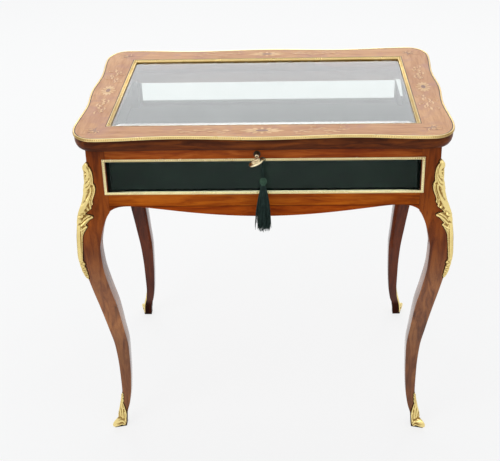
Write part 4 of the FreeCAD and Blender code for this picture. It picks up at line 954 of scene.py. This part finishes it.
def casting(stand, outline, lines, bosses, step, columns=22):
    """Closed relief that wraps the outer corner of the front left leg; step is the height of a
    row of its mesh, and columns their number on each of the leg's two faces."""
    top, bottom = outline[0][0], outline[-1][0]
    levels = np.linspace(bottom, top, int((top - bottom) / step) + 1)
    table = np.array(outline[::-1], float)
    reach = np.interp(levels, table[:, 0], table[:, 1])
    shares = np.concatenate((np.linspace(-1, 0, columns, False), np.linspace(0, 1, columns + 1)))
    sides = np.where(shares < 0, -1, 1)
    along = np.abs(shares)[None, :] * reach[:, None]
    level = np.repeat(levels[:, None], len(shares), 1)
    relief = relief_height(along, level, lines, bosses)
    corner_stand = np.array([shape_at(stand, height)[0] for height in levels])
    peak = np.maximum(relief[:, columns], 0.4)
    near = np.clip(1 - along / THICK_REACH, 0, 1) ** 1.5
    skin = SKIN + (corner_stand - peak - SKIN)[:, None] * near
    edge = np.clip((1 - np.abs(shares)) * reach[:, None] / ROUND_WIDE, 0, 1)
    edge = np.sqrt(edge * (2 - edge))
    height = RIM + (np.maximum(skin, 0.6) + relief - RIM) * edge
    height = np.minimum(height, np.maximum(corner_stand, LOW_LIMIT)[:, None])
    # Painted shade: what lies lower than its surroundings is darkened as shade in a hollow.
    around = height.copy()
    for _ in range(7):
        around[1:-1] = (around[:-2] + 2 * around[1:-1] + around[2:]) / 4
        around[:, 1:-1] = (around[:, :-2] + 2 * around[:, 1:-1] + around[:, 2:]) / 4
    painted_shade = np.clip((around - height) * 2.2 + 0.16, 0, 1) * np.clip(edge * 4 - 2.4, 0, 1)
    shape = Shape()
    rows = zip(levels, along, height)
    shape.rings([relief_ring(*row, sides, CASTING_SEAT) for row in rows])
    # The seat side carries full painted shade, which darkens the casting's edge walls.
    shades = np.hstack((painted_shade, np.ones_like(painted_shade)))[:, ::-1]
    shape.painted_shade = [shades.ravel()]
    return shape


def painted_shadow_film(outline):
    """Thin dark film on the leg along a casting's edge, a little wider than the casting: painted
    shadow round it.
    """
    table = np.array(outline[::-1], float)
    levels = np.arange(table[0, 0] - 0.8, table[-1, 0] + 1, 1.1)
    spans = np.linspace(-PAINTED_SHADOW_WIDE, PAINTED_SHADOW_WIDE, 5)
    near = np.clip(levels[:, None] + spans, table[0, 0], table[-1, 0])
    reach = np.interp(near, table[:, 0], table[:, 1]).max(1) + PAINTED_SHADOW_WIDE * 0.8
    shares = np.linspace(-1, 1, 21)
    sides, tops = np.where(shares < 0, -1, 1), np.full(len(shares), FILM_TOP)
    film = Shape()
    film.rings(
        [
            relief_ring(tall, np.abs(shares) * wide, tops, sides, FILM_SEAT)
            for tall, wide in zip(levels, reach)
        ]
    )
    return film


def sole_plate():
    """Thin plate under the front left sabot and foot."""
    plan = leg_plan(LEG_FOOT)
    outer, inner = plan[0], plan[3]
    sole = np.array(
        [(outer[0] - 8, outer[1] - 8), (inner[0], outer[1] - 1), inner, (outer[0] - 1, inner[1])]
    )
    inward = unit(sole.mean(0) - sole)
    plate = Shape()
    profile = ((0.8, 0), (0, 0.6), (0, 2.6), (0.4, LEG_FOOT))
    plate.rings([at_level(sole + inward * inset, level) for inset, level in profile])
    return plate


def add_castings():
    """Knee mounts and sabots with the painted shadow film along them, and the plates under the
    feet in painted shade.
    """
    knee = casting(KNEE_STAND, KNEE_OUTLINE, KNEE_LINES, KNEE_BOSSES, 1.1)
    sabot = casting(SABOT_STAND, SABOT_OUTLINE, SABOT_LINES, SABOT_BOSSES, 1.0)
    knee_shadow_film, sabot_shadow_film = painted_shadow_film(KNEE_OUTLINE), painted_shadow_film(SABOT_OUTLINE[:-4])
    make_corners(
        ("knee_mount_painted_shadow", knee_shadow_film, painted_shadow_wood, "veneered_wood", None, 60),
        ("sabot_painted_shadow", sabot_shadow_film, painted_shadow_wood, "veneered_wood", None, 60),
        ("knee_mount_relief", knee, ormolu, "gilt_bronze", "knee_mount", 60),
        ("sabot_relief", sabot, ormolu, "gilt_bronze", "sabot", 60),
        # The sole plate is dressed dark as painted shade under the foot.
        ("sabot_sole", sole_plate(), dark_bronze_and_shade, "gilt_bronze", "sabot", 38),
    )


add_castings()


# ---- Gilt frames of the side windows ----

# Height of the frames, the windows' inset from the case's corners, how far a frame reaches
# into that, how far out the channel for its beads lies, and the beads' inset and spacing.
FRAME_LOW, FRAME_HIGH = 623.0, 705.0
WINDOW_INSET, FRAME_OVER = 40.0, 7.4
CHANNEL, BEAD_INSET, BEAD_PITCH = 1.5, 3.05, 4.6


def wall_point(wall, across, level, out):
    """Point on a wall from distances to the right, up and outwards."""
    return {
        "front": (across, -CASE_Y - out, level),
        "back": (-across, CASE_Y + out, level),
        "left": (-CASE_X - out, -across, level),
        "right": (CASE_X + out, across, level),
    }[wall]


def frame_corners(half, inset):
    """Corners of a window frame's rectangle, (across, level), at an inset from its outline."""
    across, low, high = half - inset, FRAME_LOW + inset, FRAME_HIGH - inset
    return (-across, low), (across, low), (across, high), (-across, high)


def side_stations(corners, pitch):
    """Evenly spaced places along the sides of a rectangle, with each side's direction."""
    places = []
    corners = np.array(corners, float)
    for start, finish in zip(corners, np.roll(corners, -1, 0)):
        length = np.linalg.norm(finish - start)
        count = max(1, round(length / pitch))
        way = (finish - start) / length
        places += [(start + way * (i + 0.5) * length / count, way) for i in range(count)]
    return places


def add_window_frames():
    """Beaded gilt moulding round the window of each wall, with painted shade in its channel and
    painted light along its foot.
    """
    profile = [
        (0, 0), (0, 2.2), (0.4, 2.9), (0.9, 2.9), (1.2, CHANNEL), (4.9, CHANNEL), (5.2, 2.6),
        (5.8, 2.6), (6.2, 1.2), (6.4, 0),
    ]
    foot = FRAME_LOW + profile[-1][0] + 0.1
    # Painted shade in the channel behind the beads.
    channel = [1.0 if out == CHANNEL else 0.0 for _, out in profile][::-1]
    for wall in WALLS:
        half = (CASE_X if wall in ("front", "back") else CASE_Y) - WINDOW_INSET + FRAME_OVER
        shape = Shape()
        rings = [
            [wall_point(wall, *corner, out) for corner in frame_corners(half, inset)]
            for inset, out in profile[::-1]
        ]
        shape.rings(rings, channel, closed=True)
        # Painted light along the frame's foot.
        shape.paint_light_and_shade(lambda points: np.where(points[:, 2] < foot, -0.8, 0.0))
        origin = np.array(wall_point(wall, 0, 0, 0))
        right = np.array(wall_point(wall, 1, 0, 0)) - origin
        out = np.array(wall_point(wall, 0, 0, 1)) - origin
        for spot, way in side_stations(frame_corners(half, BEAD_INSET), BEAD_PITCH):
            along = right * way[0] + AXES[2] * way[1]
            centre = wall_point(wall, *spot, CHANNEL)
            shape.beads([centre], along, np.cross(out, along), out, (2.0, 1.7, 1.95))
        make_piece(
            f"beaded_window_frame_{wall}", shape, frame_gilt_painted_light, "table",
            [f"window_frame_{wall}"], 40,
        )


add_window_frames()


# ---- Lid: outline, gilt edge, sight moulding, marquetry ----

# A quarter of the lid's outline, from the middle of its right end to the middle of its back.
TOP_QUARTER = [
    (398, 0), (392.5, 95), (398.5, 205), (397.5, 238), (387.5, 268.5), (364, 289.5), (337, 293),
    (200, 282.5), (0, 291),
]
# Outer half sizes of the sight moulding, and the width of the gilt edge with its joint.
SIGHT_X, SIGHT_Y = 329.0, 220.0
EDGE_WIDE = 4.05
# How far a veneer reaches into the wood, how far its top stands over it, and each layer over
# the one below.
VENEER_DEEP, VENEER_PROUD, LAYER_RISE = 0.25, 0.1, 0.07


def closed_spline(points, samples):
    """Evenly spaced points and inward normals on the smooth closed curve through points."""
    points = np.asarray(points, float)
    ahead = np.roll(points, -1, 0) - points
    chords = np.linalg.norm(ahead, axis=1)
    ahead /= chords[:, None]
    before = np.roll(chords, 1)
    matrix = np.diag(2 * (before + chords))
    matrix += np.roll(np.diag(before), -1, 1) + np.roll(np.diag(chords), 1, 1)
    second = np.linalg.solve(matrix, 6 * (ahead - np.roll(ahead, 1, 0)))
    dense = []
    for i, chord in enumerate(chords):
        place = np.linspace(0, chord, 60, False)[:, None]
        rest = chord - place
        k = (i + 1) % len(points)
        value = (second[i] * rest**3 + second[k] * place**3) / (6 * chord)
        value += (points[i] / chord - second[i] * chord / 6) * rest
        value += (points[k] / chord - second[k] * chord / 6) * place
        dense += list(value)
    dense = np.array(dense + [dense[0]])
    run = np.concatenate(([0], np.cumsum(np.linalg.norm(np.diff(dense, axis=0), axis=1))))
    stations = np.linspace(0, run[-1], samples, False)
    even = np.stack([np.interp(stations, run, dense[:, k]) for k in (0, 1)], 1)
    way = unit(np.roll(even, -1, 0) - np.roll(even, 1, 0))
    return even, np.stack((-way[:, 1], way[:, 0]), 1), run[-1]


def top_loop():
    """The lid's whole outline, anticlockwise."""
    right = [(x, -y) for x, y in reversed(TOP_QUARTER)][:-1] + TOP_QUARTER[:-1]
    return right + [(-x, -y) for x, y in right]


# The outline, its inward normals and its length.
LID_LINE, LID_INWARD, LID_ROUND = closed_spline(top_loop(), 640)


def add_gilt_edge():
    """Beaded gilt edge round the lid, with painted shade in its channel and along its two ends."""
    profile = [
        (4, 753.5), (1.4, 753.5), (0.6, 754.2), (1.1, 755.0), (1.8, 755.4), (1.8, 758.2),
        (1.0, 758.6), (0.7, 759.2), (1.5, 759.9), (3.2, 759.9), (4, 759.3),
    ]
    shape = Shape()
    rings = [at_level(LID_LINE + LID_INWARD * inset, level) for inset, level in profile]
    # Painted shade in the channel behind the beads.
    channel = [0.6 if 755.2 < level < 758.3 else 0.0 for _, level in profile]
    shape.rings(rings, channel, closed=True)
    count = round(LID_ROUND / BEAD_PITCH)
    spots, inward, _ = closed_spline(top_loop(), count)
    along = at_level(np.column_stack((inward[:, 1], -inward[:, 0])), 0)
    bead_inset, bead_level = 1.55, 756.8
    centres = at_level(spots + inward * bead_inset, bead_level)
    shape.beads(centres, along, AXES[2], at_level(-inward, 0), (1.75, 1.95, 1.5))
    # Painted shade along the lid's two ends.
    shade_from, shade_over = 340, 40
    shape.paint_light_and_shade(
        lambda points: 0.85 * np.clip((np.abs(points[:, 0]) - shade_from) / shade_over, 0, 1)
    )
    make_piece("beaded_lid_edge", shape, gilt, "lid", ["lid_gilt_edge"], 40)


def add_sight_moulding():
    """Gilt moulding round the lid glass: fillet, twisted ribbon and a slope to the glass."""
    shape = Shape()
    profile = [
        (0.05, 753.6), (0.05, 759.2), (0.25, 759.4), (0.8, 759.4), (1.2, 758.7), (5.4, 756.4),
        (5.7, 756.9), (6.3, 756.8), (6.7, 755.8), (7.45, 754.3), (7.45, 753.6),
    ]
    rings = [rectangle(SIGHT_X - inset, SIGHT_Y - inset, level) for inset, level in profile]
    # Painted shade in the hollows and along the slope to the glass, and a little over the rest.
    hollow_shade = [1.0 if inset > 6.5 or inset in (1.2, 5.4) else 0.25 for inset, _ in profile]
    shape.rings(rings, hollow_shade, closed=True)
    ribbon_inset, ribbon_level, ribbon_pitch, slope = 3.3, 757.2, 5.2, 0.55
    ribbon_line = rectangle(SIGHT_X - ribbon_inset, SIGHT_Y - ribbon_inset, ribbon_level)
    for spot, along in side_stations(ribbon_line, ribbon_pitch):
        inward = np.cross(AXES[2], along)
        tilt = unit(AXES[2] + inward * slope)
        lean = unit(along * 0.75 + np.cross(tilt, along) * 0.66)
        side = np.cross(tilt, lean)
        # Painted shade on the ribbon's beads along the two short sides.
        shape.beads([spot], lean, side, tilt, (2.5, 1.35, 1.15), 0.7 * abs(along[1]))
    make_piece(
        "ribbon_sight_moulding", shape, gilt, "lid", ["lid_sight_moulding"], 40
    )


def veneer_levels(layer):
    """Levels of the underside and the top of a veneer; later layers stand a hair higher."""
    return VENEER_LEVEL - VENEER_DEEP, VENEER_LEVEL + VENEER_PROUD + LAYER_RISE * layer


class Inlay:
    """Thin flat veneers let into the lid's top, gathered by their wood."""

    def __init__(self):
        self.shapes = {"pale": Shape(), "mid": Shape(), "dark": Shape()}

    def strip(self, wood_name, spine, half, layer):
        """Thin plate that follows a line in plan with its own half width at each point."""
        way = unit(np.gradient(spine, axis=0))
        side = np.stack((-way[:, 1], way[:, 0]), 1) * np.asarray(half)[:, None]
        low, high = veneer_levels(layer)
        corners = ((-side, low), (side, low), (side, high), (-side, high))
        rings = [at_level(spine + offset, level) for offset, level in corners]
        self.shapes[wood_name].rings(np.stack(rings, 1))

    def leaf(self, wood_name, root, way, length, wide, bend=0.0, layer=0, blunt=0.8):
        """Pointed leaf from its root along a direction in degrees, curved by bend."""
        steps = np.linspace(0, 1, 11)
        angle = math.radians(way) + bend * steps
        moves = np.stack((np.cos(angle), np.sin(angle)), 1) * length / 10
        spine = np.vstack(((0, 0), np.cumsum(moves[:-1], 0))) + root
        half = wide / 2 * np.sin(np.pi * steps**blunt) + 0.12
        self.strip(wood_name, spine, half, layer)

    def stem(self, wood_name, points, first, last, layer=0):
        """Curved strip with a width that changes from first to last."""
        count = 4 * len(points)
        line = smooth_line(points, count, 8)
        self.strip(wood_name, line, np.linspace(first, last, count) / 2, layer)

    def oval(self, wood_name, centre, half_x, half_y, layer=0):
        """Flat oval plate."""
        points = circle(28)[:, :2] * (half_x, half_y) + centre
        self.shapes[wood_name].slab(points, *veneer_levels(layer))


def patera(inlay, centre, long_x, long_y):
    """Oval flower: pale rounded petals round a dark oval eye."""
    centre = np.array(centre, float)
    petals = 12
    for i in range(petals):
        angle = math.tau * i / petals
        ray = np.array((math.cos(angle) * long_x, math.sin(angle) * long_y))
        tip, root = ray * (1.0 if i % 6 == 0 else 0.86), ray * 0.24
        length = np.linalg.norm(tip - root)
        way = math.degrees(math.atan2(*(tip - root)[::-1]))
        inlay.leaf("mid", centre + root, way + 15, length * 0.7, 2.4, 0, 1, 1.2)
        inlay.leaf("pale", centre + root, way, length, 6.0, 0, 2 + i % 2, 1.3)
    inlay.oval("pale", centre, long_x * 0.35, long_y * 0.37, 4)
    inlay.oval("dark", centre, long_x * 0.28, long_y * 0.3, 5)


def vine(inlay, start, way, length, sway):
    """Scrolling branch with curled leaves on both sides."""
    start, along = np.array(start, float), np.array(way, float)
    side = np.array((-along[1], along[0]))
    heading = math.degrees(math.atan2(along[1], along[0]))
    bends, leaves, root_leaf = 3.4, 11, 24
    curl_off, curl_reach = 7, 9.5

    def spot(share):
        return start + along * length * share + side * sway * math.sin(share * bends * math.pi)

    inlay.stem("mid", [spot(s) for s in np.linspace(0, 1, 15)], 2.0, 0.9)
    for index, share in enumerate(np.linspace(0.04, 0.96, leaves)):
        root, turn = spot(share), 1 if index % 2 else -1
        long_leaf = root_leaf * (1 - 0.3 * share)
        # Each leaf lies a little over the one before it where they cross.
        lift = 0.3 * share
        for tone, lean, size, wide, bend, layer in (
            ("mid", turn * 52, 0.8, 4.0, -turn * 1.4, 1),
            ("pale", turn * 30, 1.0, 4.8, -turn, 2),
            ("mid", -turn * 16, 0.7, 2.6, turn * 1.2, 3),
        ):
            inlay.leaf(tone, root, heading + lean, long_leaf * size, wide, bend, layer + lift)
    for share, turn in ((0.14, -1), (0.42, 1), (0.7, -1), (0.96, 1)):
        for tone, grow, layer in (("mid", 1.0, 4), ("pale", 0.78, 5)):
            curl = []
            middle = spot(share) + side * turn * curl_off
            for k in np.linspace(0, 1, 14):
                angle = math.radians(heading) + turn * (0.6 + 4.4 * k)
                ray = np.array((math.cos(angle), math.sin(angle)))
                curl.append(middle + ray * curl_reach * grow * (1 - 0.7 * k))
            inlay.stem(tone, curl, 2.0, 1.0, layer + 0.3 * share)


def corner_spray(inlay, across_x, across_y):
    """Small fan of curved leaves in a corner of the lid."""
    root = np.array((across_x * 347.0, across_y * 243.0))
    diagonal = math.degrees(math.atan2(across_y, across_x))
    for offset, length in ((-95, 30), (-55, 22), (-20, 30), (20, 22), (60, 30), (100, 20)):
        bend = math.radians(70 if offset < 0 else -70)
        inlay.leaf("mid", root, diagonal + offset, length, 3.4, bend, 1)
        inlay.leaf("pale", root, diagonal + offset + 9, length * 0.8, 1.8, bend, 2)
        inlay.leaf("dark", root, diagonal + offset - 12, length * 0.6, 1.6, -bend, 3)


def add_marquetry():
    """Rosettes in the middle of the lid's sides, vines beside them and sprays in its corners."""
    inlay = Inlay()
    for across in (-1, 1):
        patera(inlay, (0, across * 252.5), 47, 19.5)
        patera(inlay, (across * 359.5, 0), 18.5, 38)
        for hand in (-1, 1):
            vine(inlay, (hand * 58, across * 252), (hand, 0), 112, 8 * hand * across)
            vine(inlay, (across * 359, hand * 48), (0, hand), 88, 8 * hand * across)
            corner_spray(inlay, across, hand)
    woods = {"pale": inlay_pale, "mid": inlay_mid, "dark": inlay_dark}
    for tone, shape in inlay.shapes.items():
        make_piece(f"marquetry_{tone}", shape, woods[tone], "lid", (), 30)


def add_stringing_and_shadow():
    """Fine dark lines of veneer inside the gilt edge and round the sight moulding: stringing that
    is also painted shadow along the gilt.
    """
    shape = Shape()
    low, high = VENEER_LEVEL, VENEER_LEVEL + 0.12
    wide, joint = 2.05, 0.05
    inner = EDGE_WIDE + wide
    rings = [
        at_level(LID_LINE + LID_INWARD * inset, level)
        for inset, level in ((EDGE_WIDE, low), (EDGE_WIDE, high), (inner, high), (inner, low))
    ]
    shape.rings(rings, closed=True)
    rings = [
        rectangle(SIGHT_X + grow, SIGHT_Y + grow, level)
        for grow, level in ((joint, low), (2, low), (2, high), (joint, high))
    ]
    shape.rings(rings, closed=True)
    make_piece("dark_stringing_and_shadow_lines", shape, stringing_and_shadow, "lid", (), 30)


def add_top_veneer():
    """Marquetry ground of the lid: four sheets of veneer between gilt edge and sight moulding."""
    half_x, half_y = SIGHT_X - 0.1, SIGHT_Y - 0.1
    overlap = 8
    for wall in WALLS:
        horizontal = wall in ("front", "back")
        sign = -1 if wall in ("front", "left") else 1
        low, high = VENEER_LEVEL - 0.02, VENEER_LEVEL + (0.05 if horizontal else 0.07)
        chosen = []
        for x, y in LID_LINE + LID_INWARD * EDGE_WIDE:
            over_x, over_y = abs(x) - half_x, abs(y) - half_y
            inside = over_y >= over_x - overlap if horizontal else over_x > over_y
            if inside and (y if horizontal else x) * sign > 0:
                chosen.append((x, y))
        chosen.sort(key=lambda spot: spot[0] if horizontal else spot[1])
        rings = []
        for x, y in chosen:
            if horizontal:
                inner = (min(max(x, -half_x), half_x), sign * half_y)
            else:
                inner = (sign * half_x, min(max(y, -half_y), half_y))
            rings.append([(*inner, low), (x, y, low), (x, y, high), (*inner, high)])
        if wall in ("front", "right"):
            rings = [ring[::-1] for ring in rings]
        shape = Shape()
        shape.rings(rings)
        ground = ground_x if horizontal else ground_y
        make_piece(f"top_veneer_{wall}", shape, ground, "lid", (), 30)


add_gilt_edge()
add_sight_moulding()
add_marquetry()
add_stringing_and_shadow()
add_top_veneer()


# ---- Key ----


def add_key():
    """Key with turned collars and a pierced bow of scrolls, tilted as it stands in the lock."""
    face = -CASE_Y
    bow_inner = face - BOW_START
    tip = face + KEY_DEEP
    shape = Shape()
    profile = [
        (0.3, tip), (3, tip - 0.3), (3, face - 8.4), (3.6, face - 9), (4.4, face - 9.8),
        (4.4, face - 11.6), (3.4, face - 12.6), (2.5, face - 13.4), (2.3, face - 19.6),
        (3.1, face - 20.6), (3.9, face - 21.6), (3.9, face - 23.2), (3, face - 24.2),
        (2.5, face - 25), (2.4, bow_inner - 2), (0.4, bow_inner - 2.4),
    ]
    shape.lathe((0, 0, 0), profile, "Y", 28)
    bow_y = bow_inner - BOW_LONG / 2
    middle = np.array((0, bow_y, 0))
    half_x, half_y = BOW_HALF - 2.6, BOW_LONG / 2 - 2.6
    shape.tube(circle(64) * (half_x, half_y, 0) + middle, 2.55, 12, closed=True, squash=0.8)
    shape.tube(circle(64) * (9.6, 8.7, 0) + middle + (0, 0, 0.2), 1.2, 8, closed=True)
    shape.beads([middle], *AXES, (3.2, 3.2, 2.05))
    petals = 7
    for index in range(petals):
        angle = math.tau * (index + 0.25) / petals
        ray = np.array((math.cos(angle), math.sin(angle), 0))
        across = np.array((-ray[1], ray[0], 0))
        shape.beads([middle + ray * 5.6], ray, across, AXES[2], (3.0, 1.7, 1.75))
        scroll = [ray * 8.8, ray * 10.4 + across * 1.5, ray * 12.2 - across * 0.6]
        shape.tube(np.array(scroll) + middle, (0.9, 1.3, 1.0), 7)
    shape.tube([(0, bow_inner - 1, 0), (0, bow_y + 8.7, 0)], (2.3, 1.9), 10)
    for count, reach_x, reach_y, level, radii in (
        (16, half_x, half_y, 0.75, (1.8, 1.8, 1.45)),
        (8, 8.6, 7.7, 0.2, (1.7, 1.7, 1.5)),
    ):
        for index in range(count):
            angle = math.tau * (index + 0.5) / count
            spot = middle + (reach_x * math.cos(angle), reach_y * math.sin(angle), level)
            shape.beads([spot], *AXES, radii)
    bit = ((0.5, -1.1), (5, -1.1), (5, 1.1), (0.5, 1.1))
    shape.rings([[(x, y, z) for x, z in bit] for y in (tip - 6.5, tip - 1)])
    cosine, sine = math.cos(BOW_TILT), math.sin(BOW_TILT)
    tilt = np.array(((cosine, 0, -sine), (0, 1, 0), (sine, 0, cosine)))
    shape.points = [points @ tilt.T + (KEY_X, 0, KEY_Z) for points in shape.points]
    make_piece("ornamental_key", shape, key_gilt, "key", ["key"], 45)


add_key()


# ---- Linings inside the case ----


def add_linings():
    """Velvet on the inner faces of the corner posts, and a facing on the back rail."""
    velvet_post = Shape()
    corner = [
        (-347, -227.95), (-328.95, -227.95), (-328.95, -246), (-328.2, -246), (-328.2, -227.2),
        (-347, -227.2),
    ]
    velvet_post.slab(corner, 626, 724.5)
    make_corners(("velvet_post_lining", velvet_post, velvet, "velvet", None, 30))
    facing = Shape()
    facing.slab([(-328, 245.1), (328, 245.1), (328, 245.9), (-328, 245.9)], 686.2, 724.8)
    make_piece("back_rail_facing", facing, facing_wood, "table", (), 30)


add_linings()


# ---- Materials of the CAD nodes that stay as they are ----

for wall in WALLS:
    lengthways = wall in ("front", "back")
    dress(f"apron_{wall}", rail_x if lengthways else rail_y)
    dress(f"top_rail_{wall}", rail_x if lengthways else rail_y)
    dress(f"lid_rail_{wall}", lid_side_x if lengthways else lid_side_y)
    dress(f"window_pane_{wall}", pane_glass)
brass_nodes = (
    "hinge_leaves_case", "hinge_leaves_lid", "lock_case", "lock_cover_plate", "link_plate",
    "hinge_screws_case", "hinge_screws_lid", "lock_screws", "link_plate_screws",
)
for material, nodes in (
    (lid_plate, ["lid_glass"]),
    (velvet, ["velvet_lining", "glazing_beads"]),
    (carcass, ["case_board", "floor_cleats"]),
    (brass, brass_nodes),
    (steel, ["hinge_pins", "lock_bolt"]),
    (dark_bronze_and_shade, ["escutcheon"]),
):
    for node in nodes:
        dress(node, material)
